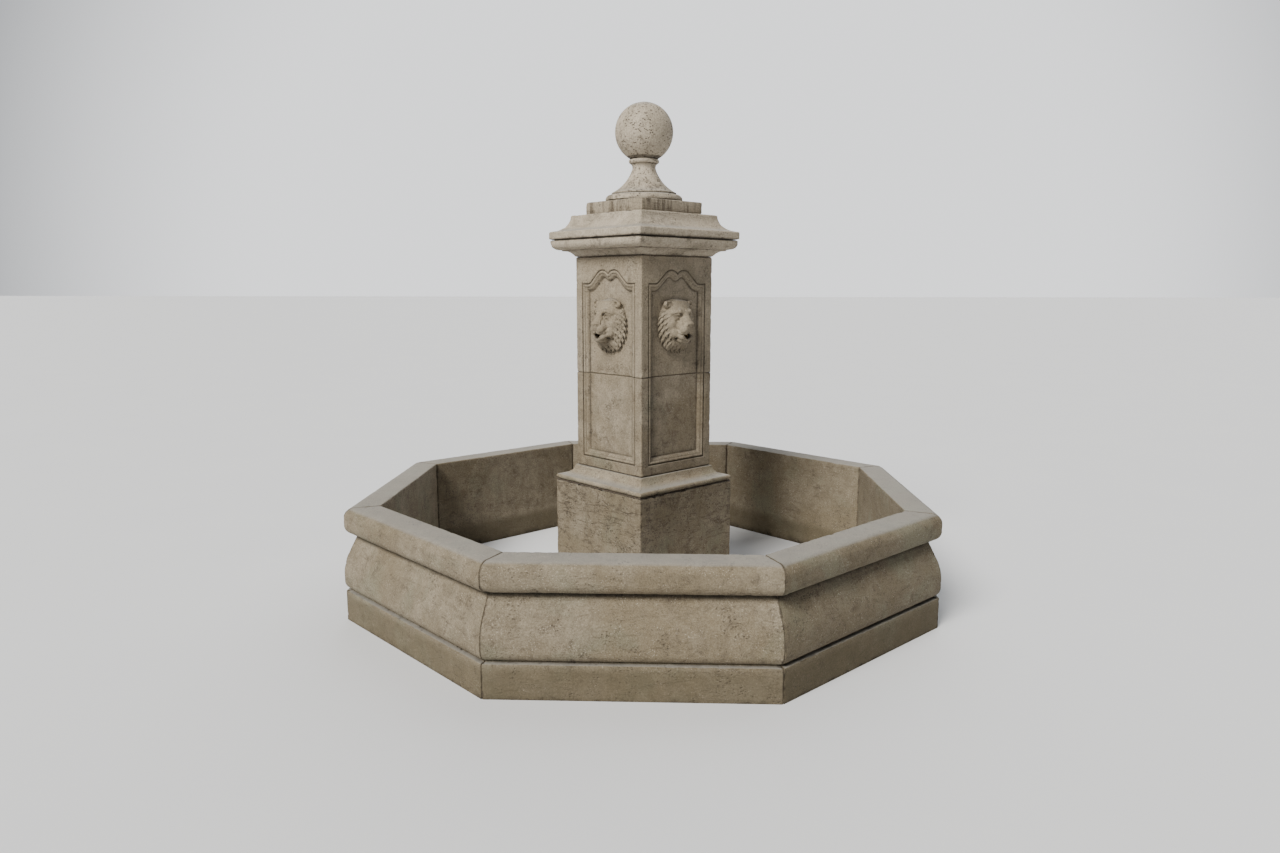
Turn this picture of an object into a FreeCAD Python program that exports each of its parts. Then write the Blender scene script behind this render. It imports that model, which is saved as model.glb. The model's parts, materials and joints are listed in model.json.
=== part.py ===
"""A carved limestone pool fountain: an eight-sided basin wall round a square pedestal with four lion spouts.

The basin is a ring of eight mitred wall stones. The pedestal is a stack of courses turned 45 degrees to
the basin, with a ball finial on top. A pump in the hollow base feeds the four spouts through a valve, a
riser and a manifold. It is reached through a hinged grille door in the face at the back right.

Units are millimetres. The origin is on the ground, on the pedestal's axis, +Z is up, and the front wall
stone faces -Y. Pieces of the pedestal are drawn facing -Y and then turned about Z to their own face.
"""
import FreeCAD, Part
import math
import os
from FreeCAD import Vector

UP = Vector(0, 0, 1)
ALONG_X = Vector(1, 0, 0)
OUTWARD = Vector(0, -1, 0)
ORIGIN = Vector(0, 0, 0)

# Turn about Z, in degrees, that takes a piece drawn facing -Y to each face of the pedestal.
FACES = {"front_right": 45, "back_right": 135, "back_left": 225, "front_left": -45}
DOOR_TURN = FACES["back_right"]

# ---- basin wall
SIDES = 8
HALF_SIDE_ANGLE = 180 / SIDES
WALLS = ["front", "front_left", "left", "back_left", "back", "back_right", "right", "front_right"]
WALL_HEIGHT = 520
WALL_INNER = 1180                    # apothem of the inner face
INNER_EDGE_ROUND = 8
COPING_FLAT_END = 1290               # apothem where the flat top turns into the bullnose
COPING_TOP_ROUND = 45
COPING_BOTTOM_ROUND = 42
COPING_DEPTH = 122
COPING_NOSE = COPING_FLAT_END + COPING_TOP_ROUND
BELLY_MAX = 1342
BELLY_ROUND = 230
BELLY_MID_Z = 215
BELLY_SLOPE = 25                     # degrees from upright under the coping
BELLY_HEEL_Z = 184
BELLY_HEEL_ROUND = 46
BELLY_HEEL_SWEEP = 70
PLINTH_OUTER = 1338
PLINTH_TOP = 138
PLINTH_ROUND = 6
MITRE_GAP = 3
MORTAR_INSET = 6
WALL_DOWEL_R = 8
WALL_DOWEL_LENGTH = 160
WALL_DOWEL_APOTHEM = 1248
WALL_DOWEL_HEIGHTS = (110, 330)

# ---- pedestal courses, from the ground up
BED = 3                              # mortar bed between two courses
BASE_HALF = 312
BASE_HEIGHT = 545
CHAMBER_HALF = 200                   # half width of the pump chamber in the base block
MOULDING_HEIGHT = 75
MOULDING_TOP_HALF = 260
MOULDING_BORE_HALF = 130
SHAFT_HALF = 235
SHAFT_BORE_HALF = 100
SHAFT_LOWER_HEIGHT = 461
SHAFT_UPPER_HEIGHT = 555
CAPITAL_HEIGHT = 79
CAPITAL_HALF = 324
SLAB_HEIGHT = 116
SLAB_HALF = 328
SLAB_TOP_HALF = 252
STEP_HEIGHT = 58
STEP_HALF = 199
ARRIS = 4                            # small round on exposed top edges

BASE_TOP = BASE_HEIGHT
MOULDING_Z = BASE_TOP + BED
MOULDING_TOP = MOULDING_Z + MOULDING_HEIGHT
SHAFT_LOWER_Z = MOULDING_TOP + BED
SHAFT_LOWER_TOP = SHAFT_LOWER_Z + SHAFT_LOWER_HEIGHT
SHAFT_UPPER_Z = SHAFT_LOWER_TOP + BED
SHAFT_UPPER_TOP = SHAFT_UPPER_Z + SHAFT_UPPER_HEIGHT
CAPITAL_Z = SHAFT_UPPER_TOP + BED
CAPITAL_TOP = CAPITAL_Z + CAPITAL_HEIGHT
SLAB_Z = CAPITAL_TOP + BED
SLAB_TOP = SLAB_Z + SLAB_HEIGHT
STEP_Z = SLAB_TOP + BED
STEP_TOP = STEP_Z + STEP_HEIGHT
FINIAL_Z = STEP_TOP + BED

# ---- sunk panel on each face of the shaft
PANEL_HALF = 190
PANEL_BOTTOM = 672
PANEL_SHOULDER_Z = 1521
PANEL_SHOULDER_U = 145               # where the level shoulder turns up into the ogee
PANEL_PEAK_U = 41
PANEL_PEAK_Z = 1585
PANEL_PEAK_ROUND = 60
PANEL_HOLLOW_ROUND = 26              # where the shoulder turns up
PANEL_DEPTH = 20
PANEL_MARGIN = 40                    # width of the moulding round the field

# ---- finial
FINIAL_FOOT_R = 186
FINIAL_NECK_R = 56
FINIAL_NECK_Z = 2060
FINIAL_RING_R = 73
FINIAL_RING_HALF = 11
BALL_R = 139
BALL_CENTRE_Z = 2230
BALL_SEAT_R = 64
FINIAL_ROD_R = 8
FINIAL_ROD_BOTTOM = SLAB_Z + 40
FINIAL_ROD_TOP = 2180

# ---- stone dowels in the pedestal
DOWEL_R = 6
DOWEL_LENGTH = 80
DOWEL_FIT = 0.5                      # grout round every dowel, pin and rod
OUTER_DOWEL = 240
SHAFT_DOWEL = 158

# ---- lion masks and spouts
FIELD = SHAFT_HALF - PANEL_DEPTH     # distance of the sunk field from the axis
SPOUT_Z = 1276
MASK_Z = 1330
MASK_HALF_WIDTH = 117
MASK_HALF_HEIGHT = 131
MANE_LOCKS = 14
LOCK_BULGE = 5
MOUTH_R = 21
MASK_PIN_R = 4
MASK_PIN_HEIGHTS = (1236, 1405)
SHAFT_SPOUT_HOLE_R = 9
TUBE_R = 7.5
TUBE_BORE_R = 6.5
NOZZLE_R = 11
NOZZLE_BORE_R = 7
NOZZLE_START = FIELD + 12
NOZZLE_END = FIELD + 76
MOUTH_BACK = FIELD + 40              # the nozzle stands in the open mouth from here on
NOZZLE_OUTLET = 24                   # length of the plain bore at the mouth
TUBE_FIT = 0.1

# ---- pump, drawn with its rotor along X and its outlet on the pedestal's axis
PUMP_AXIS_Z = 66
PUMP_HALF_WIDTH = 48
PUMP_FOOT_HEIGHT = 18
PUMP_FOOT_R = 10
PUMP_TOP = 118
MOTOR_BACK = -126
VOLUTE_HALF = 16
VOLUTE_R = 44
VOLUTE_CAVITY_R = 34
COVER_THICKNESS = 5
STRAINER_FRONT = 66
STRAINER_WALL = 3
ROTOR_R = 17
ROTOR_WELL_R = 18
ROTOR_BACK = -100
ROTOR_FRONT = -18
IMPELLER_R = 30
VANE_SWEEP = 35
SHAFT_PIN_R = 3
RUNNING_FIT = 0.05
OUTLET_R = 15
OUTLET_BORE_R = 12
OUTLET_TOP = 152
GLAND_Z = 92
GLAND_R = 11
GLAND_BORE_R = 4.5

# ---- union, valve, riser and manifold, on the pedestal's axis
UNION_BOTTOM = 140
UNION_TOP = 190
VALVE_Z = 230
VALVE_HALF_HEIGHT = 40
VALVE_BODY_R = 25
BALL_VALVE_R = 17
VALVE_BORE_R = 10
STEM_R = 5
STEM_END = 54
LEVER_START = 43
LEVER_LENGTH = 105
LEVER_WIDTH = 18
LEVER_THICKNESS = 3
RISER_R = 14
RISER_BORE_R = 12.8
MANIFOLD_R = 27
MANIFOLD_ARM = 48
MANIFOLD_SOCKET = 14

# ---- access door in the base block
DOOR_CENTRE_Z = 210
FRAME_HALF_WIDTH = 145
FRAME_HALF_HEIGHT = 170
FRAME_BAR = 32
FRAME_DEPTH = 12
OPENING_HALF_WIDTH = 125
OPENING_HALF_HEIGHT = 150
LEAF_GAP = 1.5
LEAF_DEPTH = 8
LEAF_BAR = 14
GRILLE_BAR_R = 4
GRILLE_BARS = 7
HINGE_X = -113
HINGE_Y = -(BASE_HALF + 5)
KNUCKLE_R = 5
HINGE_PIN_R = 2.5
KNUCKLE = 14                         # length of one of the three knuckles of a hinge
HINGE_HEIGHTS = (DOOR_CENTRE_Z - 95, DOOR_CENTRE_Z + 95)
LATCH_X = 94
LATCH_R = 4
LATCH_REACH = 27
FRAME_SCREW_R = 2.5


# ---------------------------------------------------------------- drawing helpers
class Pen:
    """Draws a closed outline of lines and arcs in the XZ plane."""

    def __init__(self, x, z):
        self.start = Vector(x, 0, z)
        self.at = self.start
        self.edges = []

    def line(self, x, z):
        end = Vector(x, 0, z)
        self.edges.append(Part.LineSegment(self.at, end).toShape())
        self.at = end
        return self

    def turn(self, centre_x, centre_z, degrees):
        """An arc from here about a centre, anticlockwise where degrees is positive."""
        arm = self.at.sub(Vector(centre_x, 0, centre_z))
        points = []
        for share in (0.5, 1.0):
            angle = math.radians(degrees * share)
            turned_x = arm.x * math.cos(angle) - arm.z * math.sin(angle)
            turned_z = arm.x * math.sin(angle) + arm.z * math.cos(angle)
            points.append(Vector(centre_x + turned_x, 0, centre_z + turned_z))
        self.edges.append(Part.Arc(self.at, points[0], points[1]).toShape())
        self.at = points[1]
        return self

    def bow(self, x, z, sagitta):
        """An arc to a point, bulging to the left of the way there by sagitta."""
        end = Vector(x, 0, z)
        along = end.sub(self.at)
        left = Vector(-along.z, 0, along.x).normalize()
        middle = self.at.add(along.multiply(0.5)).add(left.multiply(sagitta))
        self.edges.append(Part.Arc(self.at, middle, end).toShape())
        self.at = end
        return self

    def wire(self):
        if self.at.sub(self.start).Length > 1e-6:
            self.line(self.start.x, self.start.z)
        return Part.Wire(self.edges)

    def face(self):
        return Part.Face(self.wire())


def block(x0, x1, y0, y1, z0, z1):
    return Part.makeBox(x1 - x0, y1 - y0, z1 - z0, Vector(x0, y0, z0))


def square(half, z0, z1):
    return block(-half, half, -half, half, z0, z1)


def rod(radius, start, length, axis=UP):
    return Part.makeCylinder(radius, length, start, axis)


def pipe(radius, bore, start, length, axis=UP):
    return rod(radius, start, length, axis).cut(rod(bore, start, length, axis))


def hexagon(across_flats, start, height, axis=UP):
    radius = across_flats / 2 / math.cos(math.pi / 6)
    corners = []
    for i in range(7):
        angle = math.radians(60 * i)
        corners.append(Vector(radius * math.cos(angle), radius * math.sin(angle), 0))
    prism = Part.Face(Part.makePolygon(corners)).extrude(Vector(0, 0, height))
    prism.Placement = FreeCAD.Placement(start, FreeCAD.Rotation(UP, axis))
    return prism


def ball(radius, centre):
    return Part.makeSphere(radius, centre)


def turned(shape, degrees, centre=ORIGIN, axis=UP):
    copy = shape.copy()
    copy.rotate(centre, axis, degrees)
    return copy


def joined(shapes):
    first = shapes[0]
    return first.fuse(shapes[1:]).removeSplitter() if len(shapes) > 1 else first


def four_corners(half):
    return [(x, y) for x in (-half, half) for y in (-half, half)]


def square_course(pen):
    """A square stone with a moulded edge, from the outline of its right half, which starts on the axis."""
    reach = 2 * BASE_HALF
    half = pen.face().extrude(Vector(0, 2 * reach, 0))
    half.translate(Vector(0, -reach, 0))
    slab = half.fuse(half.mirror(ORIGIN, ALONG_X)).removeSplitter()
    return slab.common(turned(slab, 90)).removeSplitter()


# ---------------------------------------------------------------- basin
def wall_profile():
    """Section through the basin wall: x is the distance from the axis, at right angles to the wall."""
    slope = math.radians(BELLY_SLOPE)
    belly_x = BELLY_MAX - BELLY_ROUND
    tangent_x = belly_x + BELLY_ROUND * math.cos(slope)
    tangent_z = BELLY_MID_Z + BELLY_ROUND * math.sin(slope)
    soffit_z = WALL_HEIGHT - COPING_DEPTH
    neck_x = tangent_x - (soffit_z - tangent_z) * math.tan(slope)
    nose_bottom_z = soffit_z + COPING_BOTTOM_ROUND
    pen = Pen(WALL_INNER, 0)
    pen.line(WALL_INNER, WALL_HEIGHT - INNER_EDGE_ROUND)
    pen.turn(WALL_INNER + INNER_EDGE_ROUND, WALL_HEIGHT - INNER_EDGE_ROUND, -90)
    pen.line(COPING_FLAT_END, WALL_HEIGHT)
    pen.turn(COPING_FLAT_END, WALL_HEIGHT - COPING_TOP_ROUND, -90)
    pen.line(COPING_NOSE, nose_bottom_z)
    pen.turn(COPING_NOSE - COPING_BOTTOM_ROUND, nose_bottom_z, -90)
    pen.line(neck_x, soffit_z)
    pen.line(tangent_x, tangent_z)
    pen.turn(belly_x, BELLY_MID_Z, -BELLY_SLOPE)
    pen.line(BELLY_MAX, BELLY_HEEL_Z)
    pen.turn(BELLY_MAX - BELLY_HEEL_ROUND, BELLY_HEEL_Z, -BELLY_HEEL_SWEEP)
    pen.line(pen.at.x, PLINTH_TOP)
    pen.line(PLINTH_OUTER - PLINTH_ROUND, PLINTH_TOP)
    pen.turn(PLINTH_OUTER - PLINTH_ROUND, PLINTH_TOP - PLINTH_ROUND, -90)
    pen.line(PLINTH_OUTER, 0)
    return pen


def mitre_wedge(gap):
    """The wedge about -Y that one side of the basin fills, kept half a joint off both mitre planes."""
    half = math.radians(HALF_SIDE_ANGLE)
    apex = -gap / 2 / math.sin(half)
    reach = 2 * BELLY_MAX
    spread = (reach + apex) * math.tan(half)
    corners = [Vector(0, apex, 0), Vector(spread, -reach, 0), Vector(-spread, -reach, 0), Vector(0, apex, 0)]
    return Part.Face(Part.makePolygon(corners)).extrude(Vector(0, 0, WALL_HEIGHT))


def wall_prism(face):
    """The section carried along the front side of the basin, longer than the side is."""
    length = 2 * BELLY_MAX
    prism = face.extrude(Vector(0, length, 0))
    prism.translate(Vector(0, -length / 2, 0))
    return turned(prism, -90)


def wall_dowel(corner, height, clearance=0.0):
    """One dowel across the mitre at a corner, where corner 0 is between the front and front-left walls."""
    angle = math.radians(-90 - HALF_SIDE_ANGLE - 2 * HALF_SIDE_ANGLE * corner)
    reach = WALL_DOWEL_APOTHEM / math.cos(math.radians(HALF_SIDE_ANGLE))
    along = Vector(-math.sin(angle), math.cos(angle), 0)
    middle = Vector(reach * math.cos(angle), reach * math.sin(angle), height)
    length = WALL_DOWEL_LENGTH + 2 * clearance
    return rod(WALL_DOWEL_R + clearance, middle.sub(along * (length / 2)), length, along)


def wall_dowels(corners, clearance=0.0):
    return [wall_dowel(c, height, clearance) for c in corners for height in WALL_DOWEL_HEIGHTS]


def basin_nodes():
    side = wall_prism(wall_profile().face()).common(mitre_wedge(MITRE_GAP))
    nodes = {}
    for i, name in enumerate(WALLS):
        stone = turned(side, -2 * HALF_SIDE_ANGLE * i)
        holes = wall_dowels([i, (i - 1) % SIDES], DOWEL_FIT)
        nodes["basin_wall_" + name] = stone.cut(Part.makeCompound(holes))
    nodes["basin_joint_mortar"] = Part.makeCompound([mitre_mortar(c) for c in range(SIDES)])
    nodes["basin_joint_dowels"] = Part.makeCompound(wall_dowels(range(SIDES)))
    return nodes


def mitre_mortar(corner):
    """The mortar in one mitre, kept back from the faces of the stones."""
    inset = wall_profile().face().makeOffset2D(-MORTAR_INSET)
    prism = wall_prism(inset)
    side = prism.common(mitre_wedge(0))
    whole = joined([side, turned(side, -2 * HALF_SIDE_ANGLE)])
    sheet = block(-MITRE_GAP / 2, MITRE_GAP / 2, -2 * BELLY_MAX, 0, 0, WALL_HEIGHT)
    joint = whole.common(turned(sheet, -HALF_SIDE_ANGLE))
    joint = turned(joint, -2 * HALF_SIDE_ANGLE * corner)
    return joint.cut(Part.makeCompound(wall_dowels([corner], DOWEL_FIT)))


# ---------------------------------------------------------------- pedestal
def base_moulding():
    """A rounded nose over the base block, and a hollow above it up to the shaft."""
    nose_r = 14
    nose_x = BASE_HALF + 1 - nose_r
    hollow_r = 42
    pen = Pen(0, MOULDING_Z)
    pen.line(nose_x, MOULDING_Z)
    pen.turn(nose_x, MOULDING_Z + nose_r, 180)
    pen.line(nose_x, MOULDING_TOP - hollow_r)
    pen.bow(MOULDING_TOP_HALF, MOULDING_TOP - ARRIS, 11)
    pen.line(MOULDING_TOP_HALF - ARRIS, MOULDING_TOP)
    pen.line(0, MOULDING_TOP)
    return square_course(pen).cut(square(MOULDING_BORE_HALF, MOULDING_Z, MOULDING_TOP))


def capital():
    """A hollow and a fillet below a full quarter round, growing from the shaft to the slab."""
    fillet_x = CAPITAL_HALF - 42
    pen = Pen(0, CAPITAL_Z)
    pen.line(SHAFT_HALF + 5, CAPITAL_Z)
    pen.line(SHAFT_HALF + 5, CAPITAL_Z + 4)
    pen.bow(fillet_x, CAPITAL_Z + 26, 7)
    pen.line(fillet_x + 3, CAPITAL_Z + 31)
    pen.bow(CAPITAL_HALF, CAPITAL_TOP - 14, -10)
    pen.line(CAPITAL_HALF, CAPITAL_TOP - 2)
    pen.line(CAPITAL_HALF - 2, CAPITAL_TOP)
    pen.line(0, CAPITAL_TOP)
    return square_course(pen)


def cap_slab():
    """An upright edge, and a hollow above it that draws in to the step."""
    edge_top = SLAB_Z + 38
    pen = Pen(0, SLAB_Z)
    pen.line(SLAB_HALF - ARRIS, SLAB_Z)
    pen.line(SLAB_HALF, SLAB_Z + ARRIS)
    pen.line(SLAB_HALF, edge_top - ARRIS)
    pen.line(SLAB_HALF - ARRIS, edge_top)
    pen.line(SLAB_HALF - 18, edge_top + 3)
    pen.bow(SLAB_TOP_HALF, SLAB_TOP - ARRIS, 16)
    pen.line(SLAB_TOP_HALF - ARRIS, SLAB_TOP)
    pen.line(0, SLAB_TOP)
    return square_course(pen)


def cap_step():
    pen = Pen(0, STEP_Z)
    pen.line(STEP_HALF, STEP_Z)
    pen.line(STEP_HALF, STEP_TOP - ARRIS)
    pen.turn(STEP_HALF - ARRIS, STEP_TOP - ARRIS, 90)
    pen.line(0, STEP_TOP)
    return square_course(pen)


def panel_outline(inset):
    """The outline of the sunk panel, moved in by inset, in the XZ plane. Its twin peaks meet in a cusp."""
    peak_z = PANEL_PEAK_Z - PANEL_PEAK_ROUND
    peak_r = PANEL_PEAK_ROUND - inset
    hollow_z = PANEL_SHOULDER_Z + PANEL_HOLLOW_ROUND
    across = PANEL_SHOULDER_U - PANEL_PEAK_U
    rise = hollow_z - peak_z
    both = PANEL_PEAK_ROUND + PANEL_HOLLOW_ROUND
    sweep = 90 - math.degrees(math.atan2(rise, across) + math.acos(both / math.hypot(across, rise)))
    cusp_z = peak_z + math.sqrt(PANEL_PEAK_ROUND ** 2 - PANEL_PEAK_U ** 2)
    past_peak = math.degrees(math.asin(PANEL_PEAK_U / PANEL_PEAK_ROUND))
    side = PANEL_HALF - inset
    pen = Pen(-side, PANEL_BOTTOM + inset)
    pen.line(side, PANEL_BOTTOM + inset)
    pen.line(side, PANEL_SHOULDER_Z - inset)
    pen.line(PANEL_SHOULDER_U, PANEL_SHOULDER_Z - inset)
    lean = math.radians(sweep)
    foot_u = PANEL_SHOULDER_U - (PANEL_HOLLOW_ROUND + inset) * math.sin(lean)
    foot_z = hollow_z - (PANEL_HOLLOW_ROUND + inset) * math.cos(lean)
    pen.turn(PANEL_SHOULDER_U, hollow_z, -sweep)
    pen.line(PANEL_PEAK_U + peak_r * math.sin(lean), peak_z + peak_r * math.cos(lean))
    pen.turn(PANEL_PEAK_U, peak_z, sweep + past_peak)
    pen.turn(0, cusp_z, -2 * past_peak)
    pen.turn(-PANEL_PEAK_U, peak_z, sweep + past_peak)
    pen.line(-foot_u, foot_z)
    pen.turn(-PANEL_SHOULDER_U, hollow_z, -sweep)
    pen.line(-side, PANEL_SHOULDER_Z - inset)
    return pen.wire()


def panel_cutters():
    """What is cut from the shaft to sink a panel with a sloping margin into each face."""
    proud = 1
    edge = panel_outline(proud)
    field = panel_outline(PANEL_MARGIN)
    outside = edge.copy()
    edge.translate(Vector(0, -SHAFT_HALF, 0))
    field.translate(Vector(0, -FIELD, 0))
    outside.translate(Vector(0, -SHAFT_HALF - proud, 0))
    lid = Part.Face(outside).extrude(Vector(0, proud, 0))
    cutter = Part.makeLoft([edge, field], True, True).fuse(lid)
    return [turned(cutter, degrees) for degrees in (0, 90, 180, 270)]


def shaft_blocks():
    """The two blocks of the shaft. The panels run on from one to the other."""
    cutters = Part.makeCompound(panel_cutters())
    blocks = []
    for bottom, top in ((SHAFT_LOWER_Z, SHAFT_LOWER_TOP), (SHAFT_UPPER_Z, SHAFT_UPPER_TOP)):
        stone = square(SHAFT_HALF, bottom, top).cut(square(SHAFT_BORE_HALF, bottom, top))
        blocks.append(stone.cut(cutters))
    length = 4 * FIELD
    for axis in (ALONG_X, Vector(0, 1, 0)):
        start = Vector(0, 0, SPOUT_Z).sub(axis * (length / 2))
        blocks[1] = blocks[1].cut(rod(SHAFT_SPOUT_HOLE_R, start, length, axis))
    return blocks


def base_block():
    """The hollow base, with the opening for the access door in the face that looks along -Y."""
    low = DOOR_CENTRE_Z - OPENING_HALF_HEIGHT
    high = DOOR_CENTRE_Z + OPENING_HALF_HEIGHT
    stone = square(BASE_HALF, 0, BASE_TOP).cut(square(CHAMBER_HALF, 0, BASE_TOP))
    stone = stone.cut(block(-OPENING_HALF_WIDTH, OPENING_HALF_WIDTH, -BASE_HALF, 0, low, high))
    rebate_low = DOOR_CENTRE_Z - FRAME_HALF_HEIGHT
    rebate_high = DOOR_CENTRE_Z + FRAME_HALF_HEIGHT
    rebate = block(-FRAME_HALF_WIDTH, FRAME_HALF_WIDTH, -BASE_HALF, FRAME_DEPTH - BASE_HALF,
                   rebate_low, rebate_high)
    return stone.cut(rebate).cut(Part.makeCompound(frame_screws(DOWEL_FIT)))


def pedestal_dowels(clearance=0.0):
    """Four dowels across each bed joint below the step."""
    joints = [(BASE_TOP, OUTER_DOWEL), (MOULDING_TOP, SHAFT_DOWEL), (SHAFT_LOWER_TOP, SHAFT_DOWEL),
              (SHAFT_UPPER_TOP, SHAFT_DOWEL), (CAPITAL_TOP, OUTER_DOWEL)]
    dowels = []
    for z, half in joints:
        length = DOWEL_LENGTH + 2 * clearance
        for x, y in four_corners(half):
            start = Vector(x, y, z + BED / 2 - length / 2)
            dowels.append(rod(DOWEL_R + clearance, start, length))
    return dowels


def bed_mortar():
    """The mortar between the courses, kept back from their faces."""
    beds = [(BASE_TOP, BASE_HALF, CHAMBER_HALF), (MOULDING_TOP, SHAFT_HALF, MOULDING_BORE_HALF),
            (SHAFT_LOWER_TOP, FIELD, SHAFT_BORE_HALF), (SHAFT_UPPER_TOP, SHAFT_HALF, SHAFT_BORE_HALF),
            (CAPITAL_TOP, SHAFT_HALF + 50, 0), (SLAB_TOP, STEP_HALF, 0)]
    slabs = []
    for z, outer, inner in beds:
        slab = square(outer - MORTAR_INSET, z, z + BED)
        slabs.append(slab.cut(square(inner + MORTAR_INSET, z, z + BED)) if inner else slab)
    slabs.append(rod(FINIAL_FOOT_R - MORTAR_INSET, Vector(0, 0, STEP_TOP), BED))
    return slabs


def finial_rod(clearance=0.0):
    start = Vector(0, 0, FINIAL_ROD_BOTTOM - clearance)
    return rod(FINIAL_ROD_R + clearance, start, FINIAL_ROD_TOP - FINIAL_ROD_BOTTOM + 2 * clearance)


def ball_seat_z():
    return BALL_CENTRE_Z - math.sqrt(BALL_R ** 2 - BALL_SEAT_R ** 2)


def finial_pedestal():
    """The turned foot of the finial: a rounded base, a fillet, a trumpet up to the neck, and a ring."""
    ring_top = ball_seat_z()
    ring_bottom = ring_top - 2 * FINIAL_RING_HALF
    foot_top = FINIAL_Z + 30
    flare_z = FINIAL_Z + 39
    pen = Pen(0, FINIAL_Z)
    pen.line(FINIAL_FOOT_R, FINIAL_Z)
    pen.bow(FINIAL_FOOT_R - 22, foot_top, -7)
    pen.line(FINIAL_FOOT_R - 31, foot_top)
    pen.line(FINIAL_FOOT_R - 29, flare_z)
    pen.bow(FINIAL_NECK_R, FINIAL_NECK_Z, 16)
    pen.bow(FINIAL_RING_R - FINIAL_RING_HALF, ring_bottom, 3)
    pen.turn(FINIAL_RING_R - FINIAL_RING_HALF, ring_bottom + FINIAL_RING_HALF, 180)
    pen.line(0, ring_top)
    return pen.face().revolve(ORIGIN, UP, 360)


def finial_ball():
    seat = ball_seat_z()
    top = BALL_CENTRE_Z + BALL_R
    return ball(BALL_R, Vector(0, 0, BALL_CENTRE_Z)).common(square(BALL_R + 1, seat, top + 1))


def mane_layer(share, phase, depth):
    """One layer of the mane: a scalloped oval plate on the field, its locks shifted by a phase."""
    points = []
    for i in range(MANE_LOCKS + 1):
        angle = 2 * math.pi * (i + phase) / MANE_LOCKS
        x = (MASK_HALF_WIDTH - LOCK_BULGE) * share * math.cos(angle)
        z = MASK_Z + (MASK_HALF_HEIGHT - LOCK_BULGE) * share * math.sin(angle)
        points.append((x, z))
    pen = Pen(*points[0])
    for x, z in points[1:-1]:
        pen.bow(x, z, -LOCK_BULGE)
    pen.bow(*points[0], -LOCK_BULGE)
    plate = pen.face().extrude(OUTWARD * depth)
    plate.translate(Vector(0, -FIELD, 0))
    return plate


def boss(radius, across, out, up):
    """A round boss on the field: upright sides as far as out, then a dome turned in flat steps."""
    steps = 5
    pen = Pen(0, 0)
    pen.line(radius, 0)
    for i in range(steps):
        angle = math.radians(90 * i / steps)
        pen.line(radius * math.cos(angle), out + radius * math.sin(angle))
    pen.line(0, pen.at.z)
    shape = turned(pen.face().revolve(ORIGIN, UP, 360), 90, ORIGIN, ALONG_X)
    shape.translate(Vector(across, -FIELD, MASK_Z + up))
    return shape


def lion_mask():
    """A lion's head on the field of the panel, facing -Y: two layers of mane, then rounded features."""
    middle = [(78, 1, 25), (42, 62, -8), (20, 90, 9), (30, 42, -77)]
    paired = [(40, 42, 30, -15), (25, 33, 62, 42), (24, 76, 18, 98)]
    lumps = [mane_layer(1, 0, 18), mane_layer(0.84, 0.5, 36)]
    for radius, out, up in middle:
        lumps.append(boss(radius, 0, out, up))
    for radius, across, out, up in paired:
        lumps.append(boss(radius, -across, out, up))
        lumps.append(boss(radius, across, out, up))
    mouth = rod(MOUTH_R, Vector(0, -MOUTH_BACK, SPOUT_Z), FIELD, OUTWARD)
    return lumps[0].fuse(lumps[1:]).cut(mouth)


def mask_pins(clearance=0.0):
    length = 44 + 2 * clearance
    start_y = 26 - FIELD + clearance
    return [rod(MASK_PIN_R + clearance, Vector(0, start_y, z), length, OUTWARD) for z in MASK_PIN_HEIGHTS]


def pedestal_nodes():
    bored = Part.makeCompound(pedestal_dowels(DOWEL_FIT) + [finial_rod(DOWEL_FIT)])
    pin_holes = []
    for degrees in (0, 90, 180, 270):
        pin_holes += [turned(pin, degrees) for pin in mask_pins(DOWEL_FIT)]
    lower, upper = shaft_blocks()
    stones = {
        "base_block": turned(base_block(), DOOR_TURN - 45),
        "base_moulding": base_moulding(),
        "shaft_lower_block": lower,
        "shaft_upper_block": upper.cut(Part.makeCompound(pin_holes)),
        "capital": capital(),
        "cap_slab": cap_slab(),
        "cap_step": cap_step(),
        "finial_pedestal": finial_pedestal(),
        "finial_ball": finial_ball(),
        "pedestal_bed_mortar": Part.makeCompound(bed_mortar()),
    }
    nodes = {name: turned(stone.cut(bored), 45) for name, stone in stones.items()}
    nodes["pedestal_dowels"] = turned(Part.makeCompound(pedestal_dowels()), 45)
    nodes["finial_rod"] = finial_rod()
    return nodes


# ---------------------------------------------------------------- spouts
def spout_nozzle():
    """The spout in the lion's mouth: a sleeve on the tube, and a plain bore at the mouth."""
    outlet = NOZZLE_OUTLET
    sleeve = NOZZLE_END - NOZZLE_START - outlet
    start = Vector(0, -NOZZLE_START, SPOUT_Z)
    shape = rod(NOZZLE_R, start, NOZZLE_END - NOZZLE_START, OUTWARD)
    shape = shape.cut(rod(TUBE_R + TUBE_FIT, start, sleeve, OUTWARD))
    mouth = Vector(0, -NOZZLE_START - sleeve, SPOUT_Z)
    return shape.cut(rod(NOZZLE_BORE_R, mouth, outlet, OUTWARD))


def spout_tube():
    start_y = MANIFOLD_ARM - MANIFOLD_SOCKET
    end_y = NOZZLE_END - NOZZLE_OUTLET
    return pipe(TUBE_R, TUBE_BORE_R, Vector(0, -start_y, SPOUT_Z), end_y - start_y, OUTWARD)


def spout_hole():
    return rod(NOZZLE_R + TUBE_FIT, Vector(0, -FIELD, SPOUT_Z), 2 * FIELD, OUTWARD)


def spout_nodes():
    mask = lion_mask().cut(spout_hole()).cut(Part.makeCompound(mask_pins(DOWEL_FIT)))
    nodes = {}
    pins = []
    for name, degrees in FACES.items():
        nodes["lion_mask_" + name] = turned(mask, degrees)
        nodes["spout_nozzle_" + name] = turned(spout_nozzle(), degrees)
        nodes["spout_tube_" + name] = turned(spout_tube(), degrees)
        pins += [turned(pin, degrees) for pin in mask_pins()]
    nodes["mask_fixing_pins"] = Part.makeCompound(pins)
    return nodes


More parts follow.
